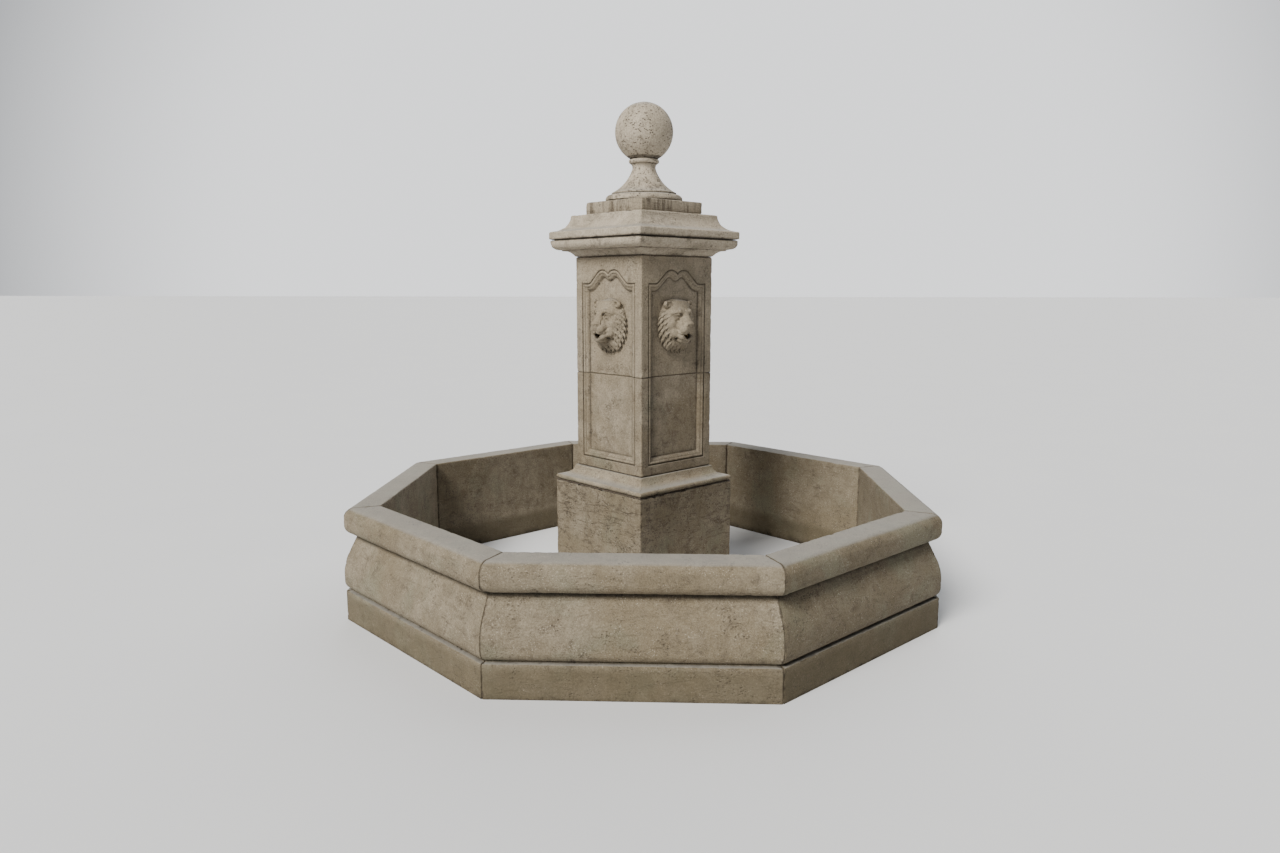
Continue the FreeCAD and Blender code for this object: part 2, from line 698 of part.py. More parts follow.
# ---------------------------------------------------------------- pump
def pump_point(x, y=0.0):
    """A point on a line through the rotor's height."""
    return Vector(x, y, PUMP_AXIS_Z)


def pump_body():
    """Motor housing and volute in one casting, with the rotor's well, the impeller's room and the outlet."""
    motor = block(MOTOR_BACK, -VOLUTE_HALF, -PUMP_HALF_WIDTH, PUMP_HALF_WIDTH, PUMP_FOOT_HEIGHT, PUMP_TOP)
    motor = motor.makeFillet(10, [e for e in motor.Edges if abs(e.tangentAt(0).x) > 0.9])
    volute = rod(VOLUTE_R, pump_point(-VOLUTE_HALF), 2 * VOLUTE_HALF, ALONG_X)
    outlet = rod(OUTLET_R, pump_point(0), OUTLET_TOP - PUMP_AXIS_Z)
    body = joined([motor, volute, outlet])
    room = pump_point(COVER_THICKNESS - VOLUTE_HALF)
    body = body.cut(rod(VOLUTE_CAVITY_R, room, 2 * VOLUTE_HALF, ALONG_X))
    body = body.cut(rod(ROTOR_WELL_R, pump_point(ROTOR_BACK - 2), -ROTOR_BACK, ALONG_X))
    body = body.cut(rod(OUTLET_BORE_R, pump_point(0), OUTLET_TOP - PUMP_AXIS_Z))
    body = body.cut(rod(SHAFT_PIN_R + RUNNING_FIT, pump_point(ROTOR_BACK - 14), 14, ALONG_X))
    return body.cut(rod(GLAND_BORE_R, Vector(MOTOR_BACK, 0, GLAND_Z), 12, ALONG_X))


def pump_volute_cover():
    """The plate that closes the impeller's room, with the intake and a spider for the shaft pin."""
    start = pump_point(VOLUTE_HALF)
    plate = pipe(VOLUTE_R, 14, start, COVER_THICKNESS, ALONG_X)
    hub = rod(6, start, COVER_THICKNESS + 3, ALONG_X)
    arms = []
    for degrees in (0, 120, 240):
        arm = block(VOLUTE_HALF, VOLUTE_HALF + 3, -1.5, 1.5, PUMP_AXIS_Z, PUMP_AXIS_Z + 16)
        arms.append(turned(arm, degrees, start, ALONG_X))
    cover = joined([plate, hub] + arms)
    return cover.cut(rod(SHAFT_PIN_R + RUNNING_FIT, start, COVER_THICKNESS, ALONG_X))


def pump_strainer():
    """The slotted cage over the intake."""
    front = STRAINER_FRONT
    start = VOLUTE_HALF + COVER_THICKNESS
    wall = STRAINER_WALL
    wide = PUMP_HALF_WIDTH
    cage = block(start, front, -wide, wide, PUMP_FOOT_HEIGHT, PUMP_TOP)
    inner = block(start, front - wall, wall - wide, wide - wall, PUMP_FOOT_HEIGHT + wall, PUMP_TOP - wall)
    slots = []
    for i in range(8):
        z = PUMP_FOOT_HEIGHT + 10 + 11 * i
        slots.append(block(start + 8, front + 1, -wide - 1, wide + 1, z, z + 4))
    posts = [block(front - wall, front, y - 4, y + 4, PUMP_FOOT_HEIGHT, PUMP_TOP) for y in (-44, -15, 15, 44)]
    ribs = []
    for y in (-wide, wide - wall):
        ribs.append(block(start + 24, start + 30, y, y + wall, PUMP_FOOT_HEIGHT, PUMP_TOP))
    return joined([cage.cut(inner).cut(Part.makeCompound(slots))] + posts + ribs)


def pump_impeller():
    """A back plate with six swept vanes round a hub, facing the intake."""
    back = COVER_THICKNESS - VOLUTE_HALF + 2
    bore = SHAFT_PIN_R + RUNNING_FIT
    vane_depth = 14
    plate = rod(IMPELLER_R, pump_point(back), 3, ALONG_X)
    hub = rod(9, pump_point(ROTOR_FRONT), back + 3 + vane_depth - ROTOR_FRONT, ALONG_X)
    parts = [plate, hub]
    for i in range(6):
        tip = PUMP_AXIS_Z + IMPELLER_R - 1
        vane = block(back + 3, back + 3 + vane_depth, -1.2, 1.2, PUMP_AXIS_Z + 7, tip)
        vane = turned(vane, VANE_SWEEP, Vector(0, 0, PUMP_AXIS_Z + 7), ALONG_X)
        parts.append(turned(vane, 60 * i, pump_point(0), ALONG_X))
    wheel = joined(parts)
    return wheel.cut(rod(bore, pump_point(ROTOR_FRONT), 60, ALONG_X))


def pump_nodes():
    gland_start = Vector(MOTOR_BACK, 0, GLAND_Z)
    gland = joined([hexagon(2 * GLAND_R, gland_start, 8, -ALONG_X), rod(9, gland_start, 24, -ALONG_X)])
    feet = []
    for x in (MOTOR_BACK + 16, STRAINER_FRONT - 16):
        for y in (-PUMP_HALF_WIDTH + 14, PUMP_HALF_WIDTH - 14):
            feet.append(Part.makeCone(PUMP_FOOT_R + 2, PUMP_FOOT_R, PUMP_FOOT_HEIGHT, Vector(x, y, 0)))
    pin_start = ROTOR_BACK - 13
    pin_length = VOLUTE_HALF + COVER_THICKNESS - 1 - pin_start
    bore = SHAFT_PIN_R + RUNNING_FIT
    return {
        "pump_body": pump_body(),
        "pump_volute_cover": pump_volute_cover(),
        "pump_strainer_cage": pump_strainer(),
        "pump_impeller": pump_impeller(),
        "pump_rotor_magnet": pipe(ROTOR_R, bore, pump_point(ROTOR_BACK), ROTOR_FRONT - ROTOR_BACK, ALONG_X),
        "pump_shaft_pin": rod(SHAFT_PIN_R, pump_point(pin_start), pin_length, ALONG_X),
        "pump_feet": Part.makeCompound(feet),
        "pump_cable_gland": gland.cut(rod(GLAND_BORE_R, gland_start, 24, -ALONG_X)),
    }


# ---------------------------------------------------------------- pipework
def valve_point(y=0.0, z=0.0):
    return Vector(0, y, VALVE_Z + z)


def valve_body():
    """A two-ended ball valve with its stem towards the access door."""
    low = -VALVE_HALF_HEIGHT
    parts = [hexagon(46, valve_point(z=low), 16), hexagon(46, valve_point(z=VALVE_HALF_HEIGHT - 16), 16),
             rod(VALVE_BODY_R, valve_point(z=low + 10), 2 * (VALVE_HALF_HEIGHT - 10)),
             rod(11, valve_point(), LEVER_START - 3, OUTWARD)]
    body = joined(parts)
    body = body.cut(ball(BALL_VALVE_R + 1, valve_point()))
    body = body.cut(rod(VALVE_BORE_R + 5, valve_point(z=-15), 30))
    body = body.cut(rod(VALVE_BORE_R, valve_point(z=low), 2 * VALVE_HALF_HEIGHT))
    body = body.cut(rod(RISER_R + TUBE_FIT, valve_point(z=VALVE_HALF_HEIGHT - 14), 14))
    return body.cut(rod(STEM_R + RUNNING_FIT, valve_point(), LEVER_START, OUTWARD))


def valve_ball():
    globe = ball(BALL_VALVE_R, valve_point())
    globe = globe.cut(rod(VALVE_BORE_R, valve_point(z=-BALL_VALVE_R), 2 * BALL_VALVE_R))
    return globe.cut(block(-4, 4, -BALL_VALVE_R - 1, 4 - BALL_VALVE_R, 0, 2 * VALVE_Z))


def valve_stem():
    blade = block(-3.9, 3.9, -BALL_VALVE_R, 4 - BALL_VALVE_R, VALVE_Z - 3, VALVE_Z + 3)
    return joined([blade, rod(STEM_R, valve_point(-BALL_VALVE_R), STEM_END - BALL_VALVE_R, OUTWARD)])


def valve_lever():
    """A flat lever with a grip, parallel to the pipe while the valve is open."""
    half = LEVER_WIDTH / 2
    top = VALVE_Z + LEVER_LENGTH
    plate = block(-half, half, -LEVER_START - LEVER_THICKNESS, -LEVER_START, VALVE_Z - half, top)
    front = -LEVER_START - LEVER_THICKNESS
    grip = block(-half - 2, half + 2, front - 2, 2 - LEVER_START, top - 70, top + 2)
    grip = grip.makeFillet(3, [e for e in grip.Edges if abs(e.tangentAt(0).z) > 0.9])
    return joined([plate, grip]).cut(rod(STEM_R + TUBE_FIT, valve_point(), STEM_END, OUTWARD))


def valve_nut():
    start = valve_point(-LEVER_START - LEVER_THICKNESS)
    return hexagon(16, start, 6, OUTWARD).cut(rod(STEM_R + TUBE_FIT, start, 6, OUTWARD))


def valve_seats():
    """The two rings that the ball turns against."""
    rings = []
    for z in (-15, 9):
        ring = pipe(VALVE_BORE_R + 4.9, VALVE_BORE_R, valve_point(z=z), 6)
        rings.append(ring.cut(ball(BALL_VALVE_R + RUNNING_FIT, valve_point())))
    return rings


def pump_union():
    body = hexagon(42, Vector(0, 0, UNION_BOTTOM), UNION_TOP - UNION_BOTTOM)
    body = body.cut(rod(OUTLET_R + TUBE_FIT, Vector(0, 0, UNION_BOTTOM), OUTLET_TOP - UNION_BOTTOM))
    return body.cut(rod(OUTLET_BORE_R, Vector(0, 0, UNION_BOTTOM), UNION_TOP - UNION_BOTTOM))


def manifold():
    """A ball with four side sockets for the spout tubes and one below for the riser."""
    centre = Vector(0, 0, SPOUT_Z)
    foot = Vector(0, 0, SPOUT_Z - 55)
    parts = [ball(MANIFOLD_R, centre), rod(19, foot, 55)]
    bores = [rod(RISER_R + TUBE_FIT, foot, 25), rod(RISER_BORE_R, foot, 55)]
    for degrees in (0, 90, 180, 270):
        parts.append(turned(rod(12, centre, MANIFOLD_ARM, OUTWARD), degrees))
        socket = Vector(0, -MANIFOLD_ARM + MANIFOLD_SOCKET, SPOUT_Z)
        bores.append(turned(rod(TUBE_R + TUBE_FIT, socket, MANIFOLD_SOCKET, OUTWARD), degrees))
        bores.append(turned(rod(TUBE_BORE_R, centre, MANIFOLD_ARM, OUTWARD), degrees))
    return joined(parts).cut(Part.makeCompound(bores))


def pipework_nodes():
    riser_start = VALVE_Z + VALVE_HALF_HEIGHT - 14
    riser_end = SPOUT_Z - 30
    return {
        "pump_union": pump_union(),
        "flow_valve_body": valve_body(),
        "flow_valve_ball": valve_ball(),
        "flow_valve_stem": valve_stem(),
        "flow_valve_lever": valve_lever(),
        "flow_valve_lever_nut": valve_nut(),
        "flow_valve_seats": Part.makeCompound(valve_seats()),
        "riser_pipe": pipe(RISER_R, RISER_BORE_R, Vector(0, 0, riser_start), riser_end - riser_start),
        "spout_manifold": manifold(),
    }


# ---------------------------------------------------------------- access door
def door_plate(half_width, half_height, y0, y1):
    return block(-half_width, half_width, y0, y1, DOOR_CENTRE_Z - half_height, DOOR_CENTRE_Z + half_height)


def knuckle(z, length):
    return rod(KNUCKLE_R, Vector(HINGE_X, HINGE_Y, z), length)


def door_frame():
    """A flat frame let into the stone, with the fixed knuckles of two hinges on its left bar."""
    front = -BASE_HALF
    frame = door_plate(FRAME_HALF_WIDTH, FRAME_HALF_HEIGHT, front, front + FRAME_DEPTH)
    hole = door_plate(FRAME_HALF_WIDTH - FRAME_BAR, FRAME_HALF_HEIGHT - FRAME_BAR, front, front + FRAME_DEPTH)
    parts = [frame.cut(hole)]
    for z in HINGE_HEIGHTS:
        for low in (z - 1.5 * KNUCKLE, z + 0.5 * KNUCKLE + 0.5):
            length = KNUCKLE - 0.5
            parts.append(knuckle(low, length))
            parts.append(block(HINGE_X - 16, HINGE_X, front - KNUCKLE_R, front, low, low + length))
    body = joined(parts).cut(Part.makeCompound(hinge_pins(RUNNING_FIT)))
    return body.cut(Part.makeCompound(frame_screws(0)))


def door_leaf():
    """The grille: a flat rim with upright bars, and the moving knuckles of the hinges."""
    front = -BASE_HALF
    half_width = FRAME_HALF_WIDTH - FRAME_BAR - LEAF_GAP
    half_height = FRAME_HALF_HEIGHT - FRAME_BAR - LEAF_GAP
    rim = door_plate(half_width, half_height, front, front + LEAF_DEPTH)
    rim = rim.cut(door_plate(half_width - LEAF_BAR, half_height - LEAF_BAR, front, front + LEAF_DEPTH))
    parts = [rim]
    spacing = 2 * (half_width - LEAF_BAR) / (GRILLE_BARS + 1)
    for i in range(1, GRILLE_BARS + 1):
        x = LEAF_BAR - half_width + spacing * i
        start = Vector(x, front + LEAF_DEPTH / 2, DOOR_CENTRE_Z - half_height + LEAF_BAR / 2)
        parts.append(rod(GRILLE_BAR_R, start, 2 * half_height - LEAF_BAR))
    pad = door_plate(10, 14, front, front + LEAF_DEPTH)
    pad.translate(Vector(LATCH_X, 0, 0))
    parts.append(pad)
    for z in HINGE_HEIGHTS:
        low = z - 0.5 * KNUCKLE
        parts.append(knuckle(low, KNUCKLE))
        parts.append(block(HINGE_X, HINGE_X + 20, front - KNUCKLE_R, front, low, low + KNUCKLE))
    leaf = joined(parts).cut(Part.makeCompound(hinge_pins(RUNNING_FIT)))
    hole_start = Vector(LATCH_X, front + LEAF_DEPTH + 1, DOOR_CENTRE_Z)
    return leaf.cut(rod(LATCH_R + RUNNING_FIT, hole_start, LEAF_DEPTH + 2, OUTWARD))


def hinge_pins(clearance=0.0):
    length = 3 * KNUCKLE
    bottoms = [Vector(HINGE_X, HINGE_Y, z - length / 2) for z in HINGE_HEIGHTS]
    return [rod(HINGE_PIN_R + clearance, bottom, length) for bottom in bottoms]


def door_latch():
    """A quarter-turn latch, drawn unlocked: a wing knob outside and an upright cam behind the frame."""
    front = -BASE_HALF
    back = front + FRAME_DEPTH + 1
    centre = Vector(LATCH_X, back + 5, DOOR_CENTRE_Z)
    spindle = rod(LATCH_R, centre, back + 5 - front + 4, OUTWARD)
    collar = rod(9, Vector(LATCH_X, front - 0.5, DOOR_CENTRE_Z), 4, OUTWARD)
    wing = block(LATCH_X - 3, LATCH_X + 3, front - 16, front - 2, DOOR_CENTRE_Z - 14, DOOR_CENTRE_Z + 14)
    wing = wing.makeFillet(2.5, [e for e in wing.Edges if abs(e.tangentAt(0).y) > 0.9])
    cam = block(LATCH_X - 7, LATCH_X + 7, back, back + 5, DOOR_CENTRE_Z - 7, DOOR_CENTRE_Z + LATCH_REACH)
    return joined([spindle, collar, wing, cam])


def frame_screws(clearance=0.0):
    """Countersunk screws that hold the frame to the stone."""
    screws = []
    front = -BASE_HALF
    across = FRAME_HALF_WIDTH - 8
    for x in (-across, across):
        for dz in (-120, 0, 120):
            at = Vector(x, front, DOOR_CENTRE_Z + dz)
            shank = rod(FRAME_SCREW_R + clearance, at, 45 + clearance, -OUTWARD)
            head = Part.makeCone(FRAME_SCREW_R * 2 + clearance, FRAME_SCREW_R + clearance, 3.5, at, -OUTWARD)
            screws.append(shank.fuse(head))
    return screws


def door_nodes():
    return {
        "access_door_frame": door_frame(),
        "access_door_grille": door_leaf(),
        "access_door_hinge_pins": Part.makeCompound(hinge_pins()),
        "access_door_latch": door_latch(),
        "access_door_frame_screws": Part.makeCompound(frame_screws()),
    }


def main():
    os.makedirs("parts", exist_ok=True)
    nodes = {}
    nodes.update(basin_nodes())
    nodes.update(pedestal_nodes())
    nodes.update(spout_nodes())
    for group in (pump_nodes(), pipework_nodes(), door_nodes()):
        nodes.update({name: turned(shape, DOOR_TURN) for name, shape in group.items()})
    for name, shape in nodes.items():
        shape.exportStep(os.path.join("parts", name + ".step"))
        solids = len(shape.Solids)
        print(f"{name}: {solids} solid(s), {shape.Volume / 1e6:.3f} litres, valid {shape.isValid()}")
    print(len(nodes), "nodes")


main()
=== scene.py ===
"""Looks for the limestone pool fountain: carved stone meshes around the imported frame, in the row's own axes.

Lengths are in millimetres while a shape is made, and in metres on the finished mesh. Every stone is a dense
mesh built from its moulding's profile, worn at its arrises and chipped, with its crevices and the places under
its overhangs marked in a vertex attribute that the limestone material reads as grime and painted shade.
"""
import json
import math

import bmesh
import bpy
import numpy as np
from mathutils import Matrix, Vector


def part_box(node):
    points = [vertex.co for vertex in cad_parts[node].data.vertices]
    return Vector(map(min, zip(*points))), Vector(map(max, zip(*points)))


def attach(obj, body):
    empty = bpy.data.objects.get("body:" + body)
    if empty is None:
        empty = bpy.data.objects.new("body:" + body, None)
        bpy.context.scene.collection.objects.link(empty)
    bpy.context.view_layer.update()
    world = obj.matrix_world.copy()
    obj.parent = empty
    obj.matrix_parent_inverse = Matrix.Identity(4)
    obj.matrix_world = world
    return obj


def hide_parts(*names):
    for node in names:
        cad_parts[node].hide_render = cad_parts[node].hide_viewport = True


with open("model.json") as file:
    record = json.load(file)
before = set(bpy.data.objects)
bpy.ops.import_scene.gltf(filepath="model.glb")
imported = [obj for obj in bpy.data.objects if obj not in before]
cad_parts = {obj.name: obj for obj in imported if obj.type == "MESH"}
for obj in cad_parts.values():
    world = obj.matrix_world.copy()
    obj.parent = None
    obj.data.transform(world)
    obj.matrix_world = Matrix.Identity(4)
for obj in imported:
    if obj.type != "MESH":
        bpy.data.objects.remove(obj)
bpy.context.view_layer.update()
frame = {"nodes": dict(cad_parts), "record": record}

import openvdb
from mathutils import Matrix, Vector

MM = 0.001
SIDES = 8
HALF_SIDE = math.radians(180 / SIDES)
WALLS = ["front", "front_left", "left", "back_left", "back", "back_right", "right", "front_right"]
FACES = {"front_right": 45, "back_right": 135, "back_left": 225, "front_left": -45}
DOOR_TURN = 135


def extent(node):
    """A pedestal course's bottom, top and half width. The pedestal stands cornerwise, so its box is wider."""
    low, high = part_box(node)
    return low[2] / MM, high[2] / MM, high[0] / MM / math.sqrt(2)


# ---------------------------------------------------------------- noise
def lattice(x, y, z, seed):
    """A fixed number from 0 to 1 for each whole-number point."""
    h = (x * 374761393 + y * 668265263 + z * 2147483647 + seed * 1274126177) & 0xFFFFFFFF
    h = ((h ^ (h >> 13)) * 1274126177) & 0xFFFFFFFF
    return ((h ^ (h >> 16)) & 0xFFFFFF) / 0xFFFFFF


def noise(points, size, seed):
    """Smooth noise from -1 to 1 with lumps about size across."""
    p = np.asarray(points, float) / size + 0.37 * seed + 1000.0
    cell = np.floor(p).astype(np.int64)
    f = p - cell
    f = f * f * f * (f * (f * 6 - 15) + 10)
    total = np.zeros(len(p))
    for corner in range(8):
        step = np.array([corner & 1, corner >> 1 & 1, corner >> 2 & 1])
        weight = np.where(step, f, 1 - f).prod(1)
        q = cell + step
        total += weight * lattice(q[:, 0], q[:, 1], q[:, 2], seed)
    return total * 2 - 1


def layered(points, size, seed, octaves):
    """Noise with finer layers on it, each half the size and strength of the last."""
    total = np.zeros(len(points))
    for i in range(octaves):
        total += noise(points, size / 2 ** i, seed + 17 * i) / 2 ** i
    return total / (2 - 2 ** (1 - octaves))


def ramp(value, low, high):
    """0 up to low, 1 from high and a smooth step between them."""
    t = np.clip((value - low) / (high - low), 0, 1)
    return t * t * (3 - 2 * t)


# ---------------------------------------------------------------- meshes
def new_piece(name, vertices, faces, node, material, dirt_and_shade, angle=40):
    """A finished mesh in metres that rides on the fountain's body and stands for a CAD node."""
    mesh = bpy.data.meshes.new(name)
    mesh.from_pydata((np.asarray(vertices) * MM).tolist(), [], faces)
    mesh.validate()
    mesh.shade_smooth()
    mesh.set_sharp_from_angle(angle=math.radians(angle))
    # Per-point grime and painted shade, kept as a vertex attribute for the limestone material.
    layer = mesh.attributes.new("dirt_and_shade", "FLOAT", "POINT")
    layer.data.foreach_set("value", np.clip(dirt_and_shade, 0, 1).astype(np.float32))
    piece = bpy.data.objects.new(name, mesh)
    bpy.context.scene.collection.objects.link(piece)
    mesh.materials.append(material)
    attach(piece, "fountain")
    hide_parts(node)
    return piece


def strip_faces(rows, columns, close_rows=False):
    """Quads over a grid of closed rings whose point number is row * columns + column."""
    r = np.arange(rows if close_rows else rows - 1)
    r, c = np.meshgrid(r, np.arange(columns), indexing="ij")
    r2, c2 = (r + 1) % rows, (c + 1) % columns
    quads = np.stack([r * columns + c, r * columns + c2, r2 * columns + c2, r2 * columns + c], -1)
    return quads.reshape(-1, 4).tolist()


def capped_faces(rows, columns):
    """The same quads, with one face over each end."""
    ends = [list(range(columns))[::-1], [(rows - 1) * columns + i for i in range(columns)]]
    return strip_faces(rows, columns) + ends


def grid_normals(points, close_rows=False):
    """Outward unit normals of a (rows, columns, 3) grid whose rings run anticlockwise and upwards."""
    along = np.roll(points, -1, 1) - np.roll(points, 1, 1)
    if close_rows:
        up = np.roll(points, -1, 0) - np.roll(points, 1, 0)
    else:
        up = np.gradient(points, axis=0)
    n = np.cross(along, up)
    return n / np.maximum(np.linalg.norm(n, axis=-1, keepdims=True), 1e-9)


def turn_z(points, degrees):
    """An array of points, of any shape, turned about the upright axis."""
    a = math.radians(degrees)
    turn = np.array([[math.cos(a), math.sin(a), 0], [-math.sin(a), math.cos(a), 0], [0, 0, 1]])
    return (points.reshape(-1, 3) @ turn).reshape(points.shape)


# ---------------------------------------------------------------- outlines
class Outline:
    """A polyline with each point's edge wear (1 on an arris) and grime with painted shade (1 in a crevice)."""

    def __init__(self, x, z, step=8.0):
        self.points = [(x, z)]
        self.wear = [0.0]
        self.dirt_and_shade = [0.0]
        self.step = step

    def add(self, x, z, wear=0.0, dirt_and_shade=0.0):
        self.points.append((x, z))
        self.wear.append(wear)
        self.dirt_and_shade.append(dirt_and_shade)

    def mark(self, wear=0.0, dirt_and_shade=0.0):
        """Sets the wear and the grime with painted shade of the last point."""
        self.wear[-1] = wear
        self.dirt_and_shade[-1] = dirt_and_shade

    def line(self, x, z, wear=0.0, dirt_and_shade=0.0, step=None):
        """A straight run in steps, whose end has the wear and the grime with painted shade."""
        x0, z0 = self.points[-1]
        count = max(1, round(math.hypot(x - x0, z - z0) / (step or self.step)))
        for i in range(1, count):
            self.add(x0 + (x - x0) * i / count, z0 + (z - z0) * i / count)
        self.add(x, z, wear, dirt_and_shade)

    def turn(self, centre_x, centre_z, degrees, wear=0.0, dirt_and_shade=0.0, step=5.0):
        """An arc about a centre, anticlockwise where degrees is positive, worn all along."""
        x0, z0 = self.points[-1]
        radius = math.hypot(x0 - centre_x, z0 - centre_z)
        start = math.atan2(z0 - centre_z, x0 - centre_x)
        sweep = math.radians(degrees)
        count = max(3, round(abs(sweep) * radius / step))
        for i in range(1, count + 1):
            angle = start + sweep * i / count
            self.add(centre_x + radius * math.cos(angle), centre_z + radius * math.sin(angle), wear, dirt_and_shade)

    def bow(self, x, z, sagitta, wear=0.0, dirt_and_shade=0.0, step=5.0):
        """An arc to a point that bulges to the left of the way there."""
        x0, z0 = self.points[-1]
        chord = math.hypot(x - x0, z - z0)
        left = ((z0 - z) / chord, (x - x0) / chord)
        radius = (chord ** 2 / 4 + sagitta ** 2) / (2 * abs(sagitta))
        inward = math.copysign(radius - abs(sagitta), sagitta)
        centre_x = (x0 + x) / 2 - left[0] * inward
        centre_z = (z0 + z) / 2 - left[1] * inward
        half = math.degrees(math.asin(chord / 2 / radius))
        self.turn(centre_x, centre_z, -math.copysign(2 * half, sagitta), wear, dirt_and_shade, step)

    def arrays(self):
        return np.array(self.points), np.array(self.wear), np.array(self.dirt_and_shade)


def spread(values, reach, closed):
    """Smears per-point values a few points along a profile, keeping their peaks."""
    out = values.copy()
    for distance in range(1, reach + 1):
        for way in (-distance, distance):
            moved = np.roll(values, way)
            if not closed:
                moved[slice(way) if way > 0 else slice(way, None)] = 0
            out = np.maximum(out, moved * (1 - distance / (reach + 1)))
    return out


def weathered(points, normals, wear, dirt_and_shade, seed, amount=1.0):
    """Points moved inwards only, by the hand-dressed surface, worn arrises and chips, with grime in the pits
    and chips added to the grime and painted shade handed in.
    """
    flat, n, w = points.reshape(-1, 3), normals.reshape(-1, 3), wear.reshape(-1)
    swell = 0.5 + 0.5 * layered(flat, 190, seed, 2)
    grain = 0.5 + 0.5 * layered(flat, 26, seed + 3, 3)
    chip = ramp(layered(flat, 34, seed + 7, 3), 0.16, 0.5)
    nick = ramp(layered(flat, 13, seed + 9, 2), 0.25, 0.6)
    pits = ramp(layered(flat, 17, seed + 11, 2), 0.42, 0.75)
    pits *= ramp(layered(flat, 150, seed + 12, 2), -0.2, 0.4)
    depth = amount * (1.3 * swell + 0.7 * grain + 0.9 * pits + w * (0.6 + 4.2 * chip + 1.6 * nick))
    soil_and_shade = dirt_and_shade.reshape(-1) + 0.45 * pits + 0.35 * w * np.maximum(chip, nick)
    return flat - n * depth[:, None], soil_and_shade


# ---------------------------------------------------------------- basin wall
MITRE_GAP = 1.6
WALL_COLUMNS = 104
WALL_END = [(3.2, 0.0), (1.5, 0.7), (0.5, 1.8), (0.0, 3.2)]     # a rounded end: drawn in, held back


def wall_outline():
    """Section through the wall, from the inner face's foot, up, over the coping and down the front."""
    low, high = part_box("basin_wall_front")
    inner, out, top = -high[1] / MM, -low[1] / MM, high[2] / MM
    plinth = out - 4
    o = Outline(inner, 0, 14)
    o.mark(0.4, 0.6)
    o.line(inner, top - 20, 0.0)
    o.line(inner, top - 8, 0.5)
    o.turn(inner + 8, top - 8, -90, 0.7, step=2.5)
    o.line(out - 52, top, 0.0, step=9)
    o.turn(out - 52, top - 45, -90, 0.18)
    o.line(out - 7, top - 80, 0.12, step=7)
    o.turn(out - 49, top - 80, -90, 0.3, 0.15, step=5)
    # Under the coping's nose the full value paints its shadow, with some grime.
    o.line(out - 56, top - 122, 0.0, 1.0, step=3)
    o.line(out - 59.7, top - 123, 0.0, 1.0, step=2)
    o.line(out - 60.4, top - 126, 0.0, 0.9, step=2)
    o.line(out - 21.55, 312.2, 0.0, step=7)
    o.turn(out - 230, 215, -25, 0.0, step=7)
    o.line(out, 184, 0.0, step=7)
    o.turn(out - 46, 184, -68, 0.15, 0.1, step=4)
    # Along the ledge above the plinth the values paint the shade there, with some grime.
    o.line(out - 27, 140.5, 0.0, 0.5, step=2)
    o.line(plinth - 20, 138.5, 0.0, 0.55, step=2)
    o.line(plinth - 10, 138, 0.5, 0.2, step=4)
    o.turn(plinth - 7, 131, -80, 0.9, step=2.5)
    o.line(plinth, 122, 0.4, step=4)
    o.line(plinth, 8, 0.0, step=9)
    o.line(plinth - 1, 0, 0.7, 0.5, step=4)
    o.line(inner + 1, 0, 0.0, 0.8, step=26)
    return o.arrays()


def outline_normals(points):
    """Outward normals of a clockwise closed outline in its own plane."""
    along = np.roll(points, -1, 0) - np.roll(points, 1, 0)
    n = np.stack([-along[:, 1], along[:, 0]], -1)
    return n / np.maximum(np.linalg.norm(n, axis=1, keepdims=True), 1e-9)


def wall_stone(index, material):
    """One wall stone, whose two ends are mitred and worn where they meet their neighbours."""
    profile, wear, dirt_and_shade = wall_outline()
    normals = outline_normals(profile)
    wear, dirt_and_shade = spread(wear, 2, True), spread(dirt_and_shade, 3, True)

    def section(share, inset, back):
        """The outline at a share of the way to an end, drawn in by inset and held back from the mitre."""
        ring = profile - normals * inset
        length = ring[:, 0] * math.tan(HALF_SIDE) - MITRE_GAP / math.cos(HALF_SIDE) - back
        return np.stack([share * length, -ring[:, 0], ring[:, 1]], -1)
    middle = np.linspace(-1, 1, WALL_COLUMNS)
    left = [section(-1, *end) for end in WALL_END]
    right = [section(1, *end) for end in reversed(WALL_END)]
    grid = np.array(left + [section(share, 0.0, 8.2) for share in middle] + right)
    rounds = np.ones(len(WALL_END))
    end_wear = np.concatenate([rounds, ramp(np.abs(middle) * 550, 535, 552) * 0.8, rounds])
    near_end = np.concatenate([rounds, 0 * middle, rounds])
    w = np.maximum(wear[None, :], 0.75 * end_wear[:, None])
    d = np.maximum(np.broadcast_to(dirt_and_shade, w.shape), 0.4 * near_end[:, None])
    off_ground = np.where(profile[:, 1] < 4, 0.0, 1.0)
    out = np.stack([0 * off_ground, -normals[:, 0], normals[:, 1]], -1) * off_ground[:, None]
    turn = -360 / SIDES * index
    out = turn_z(np.broadcast_to(out, grid.shape), turn)
    moved, soil_and_shade = weathered(turn_z(grid, turn), out, w, d, 40 * index + 5)
    return new_piece("wall_stone_" + WALLS[index], moved, capped_faces(*grid.shape[:2]),
                     "basin_wall_" + WALLS[index], material, soil_and_shade)


# ---------------------------------------------------------------- square courses
COURSE_CORNER = 3.0


def square_ring(per_side, corner_points=4):
    """Directions round a square: (flat part, corner part, wear) for each point, so a ring with half width h
    and corner radius r is flat * (h - r) + corner * r."""
    shares = np.linspace(-1, 1, per_side + 1)
    angles = np.radians(-90 + 90 * np.arange(1, corner_points) / corner_points)
    flat = np.array([(share, -1.0) for share in shares] + [(1.0, -1.0)] * len(angles))
    corner = np.array([(0.0, -1.0)] * len(shares) + [(math.cos(a), math.sin(a)) for a in angles])
    wear = [0.8] + [0.0] * (per_side - 1) + [0.8] + [1.0] * len(angles)
    turns = [math.radians(90 * side) for side in range(4)]
    spins = [np.array([[math.cos(a), math.sin(a)], [-math.sin(a), math.cos(a)]]) for a in turns]
    flat, corner = (np.concatenate([part @ spin for spin in spins]) for part in (flat, corner))
    return flat, corner, np.tile(wear, 4)


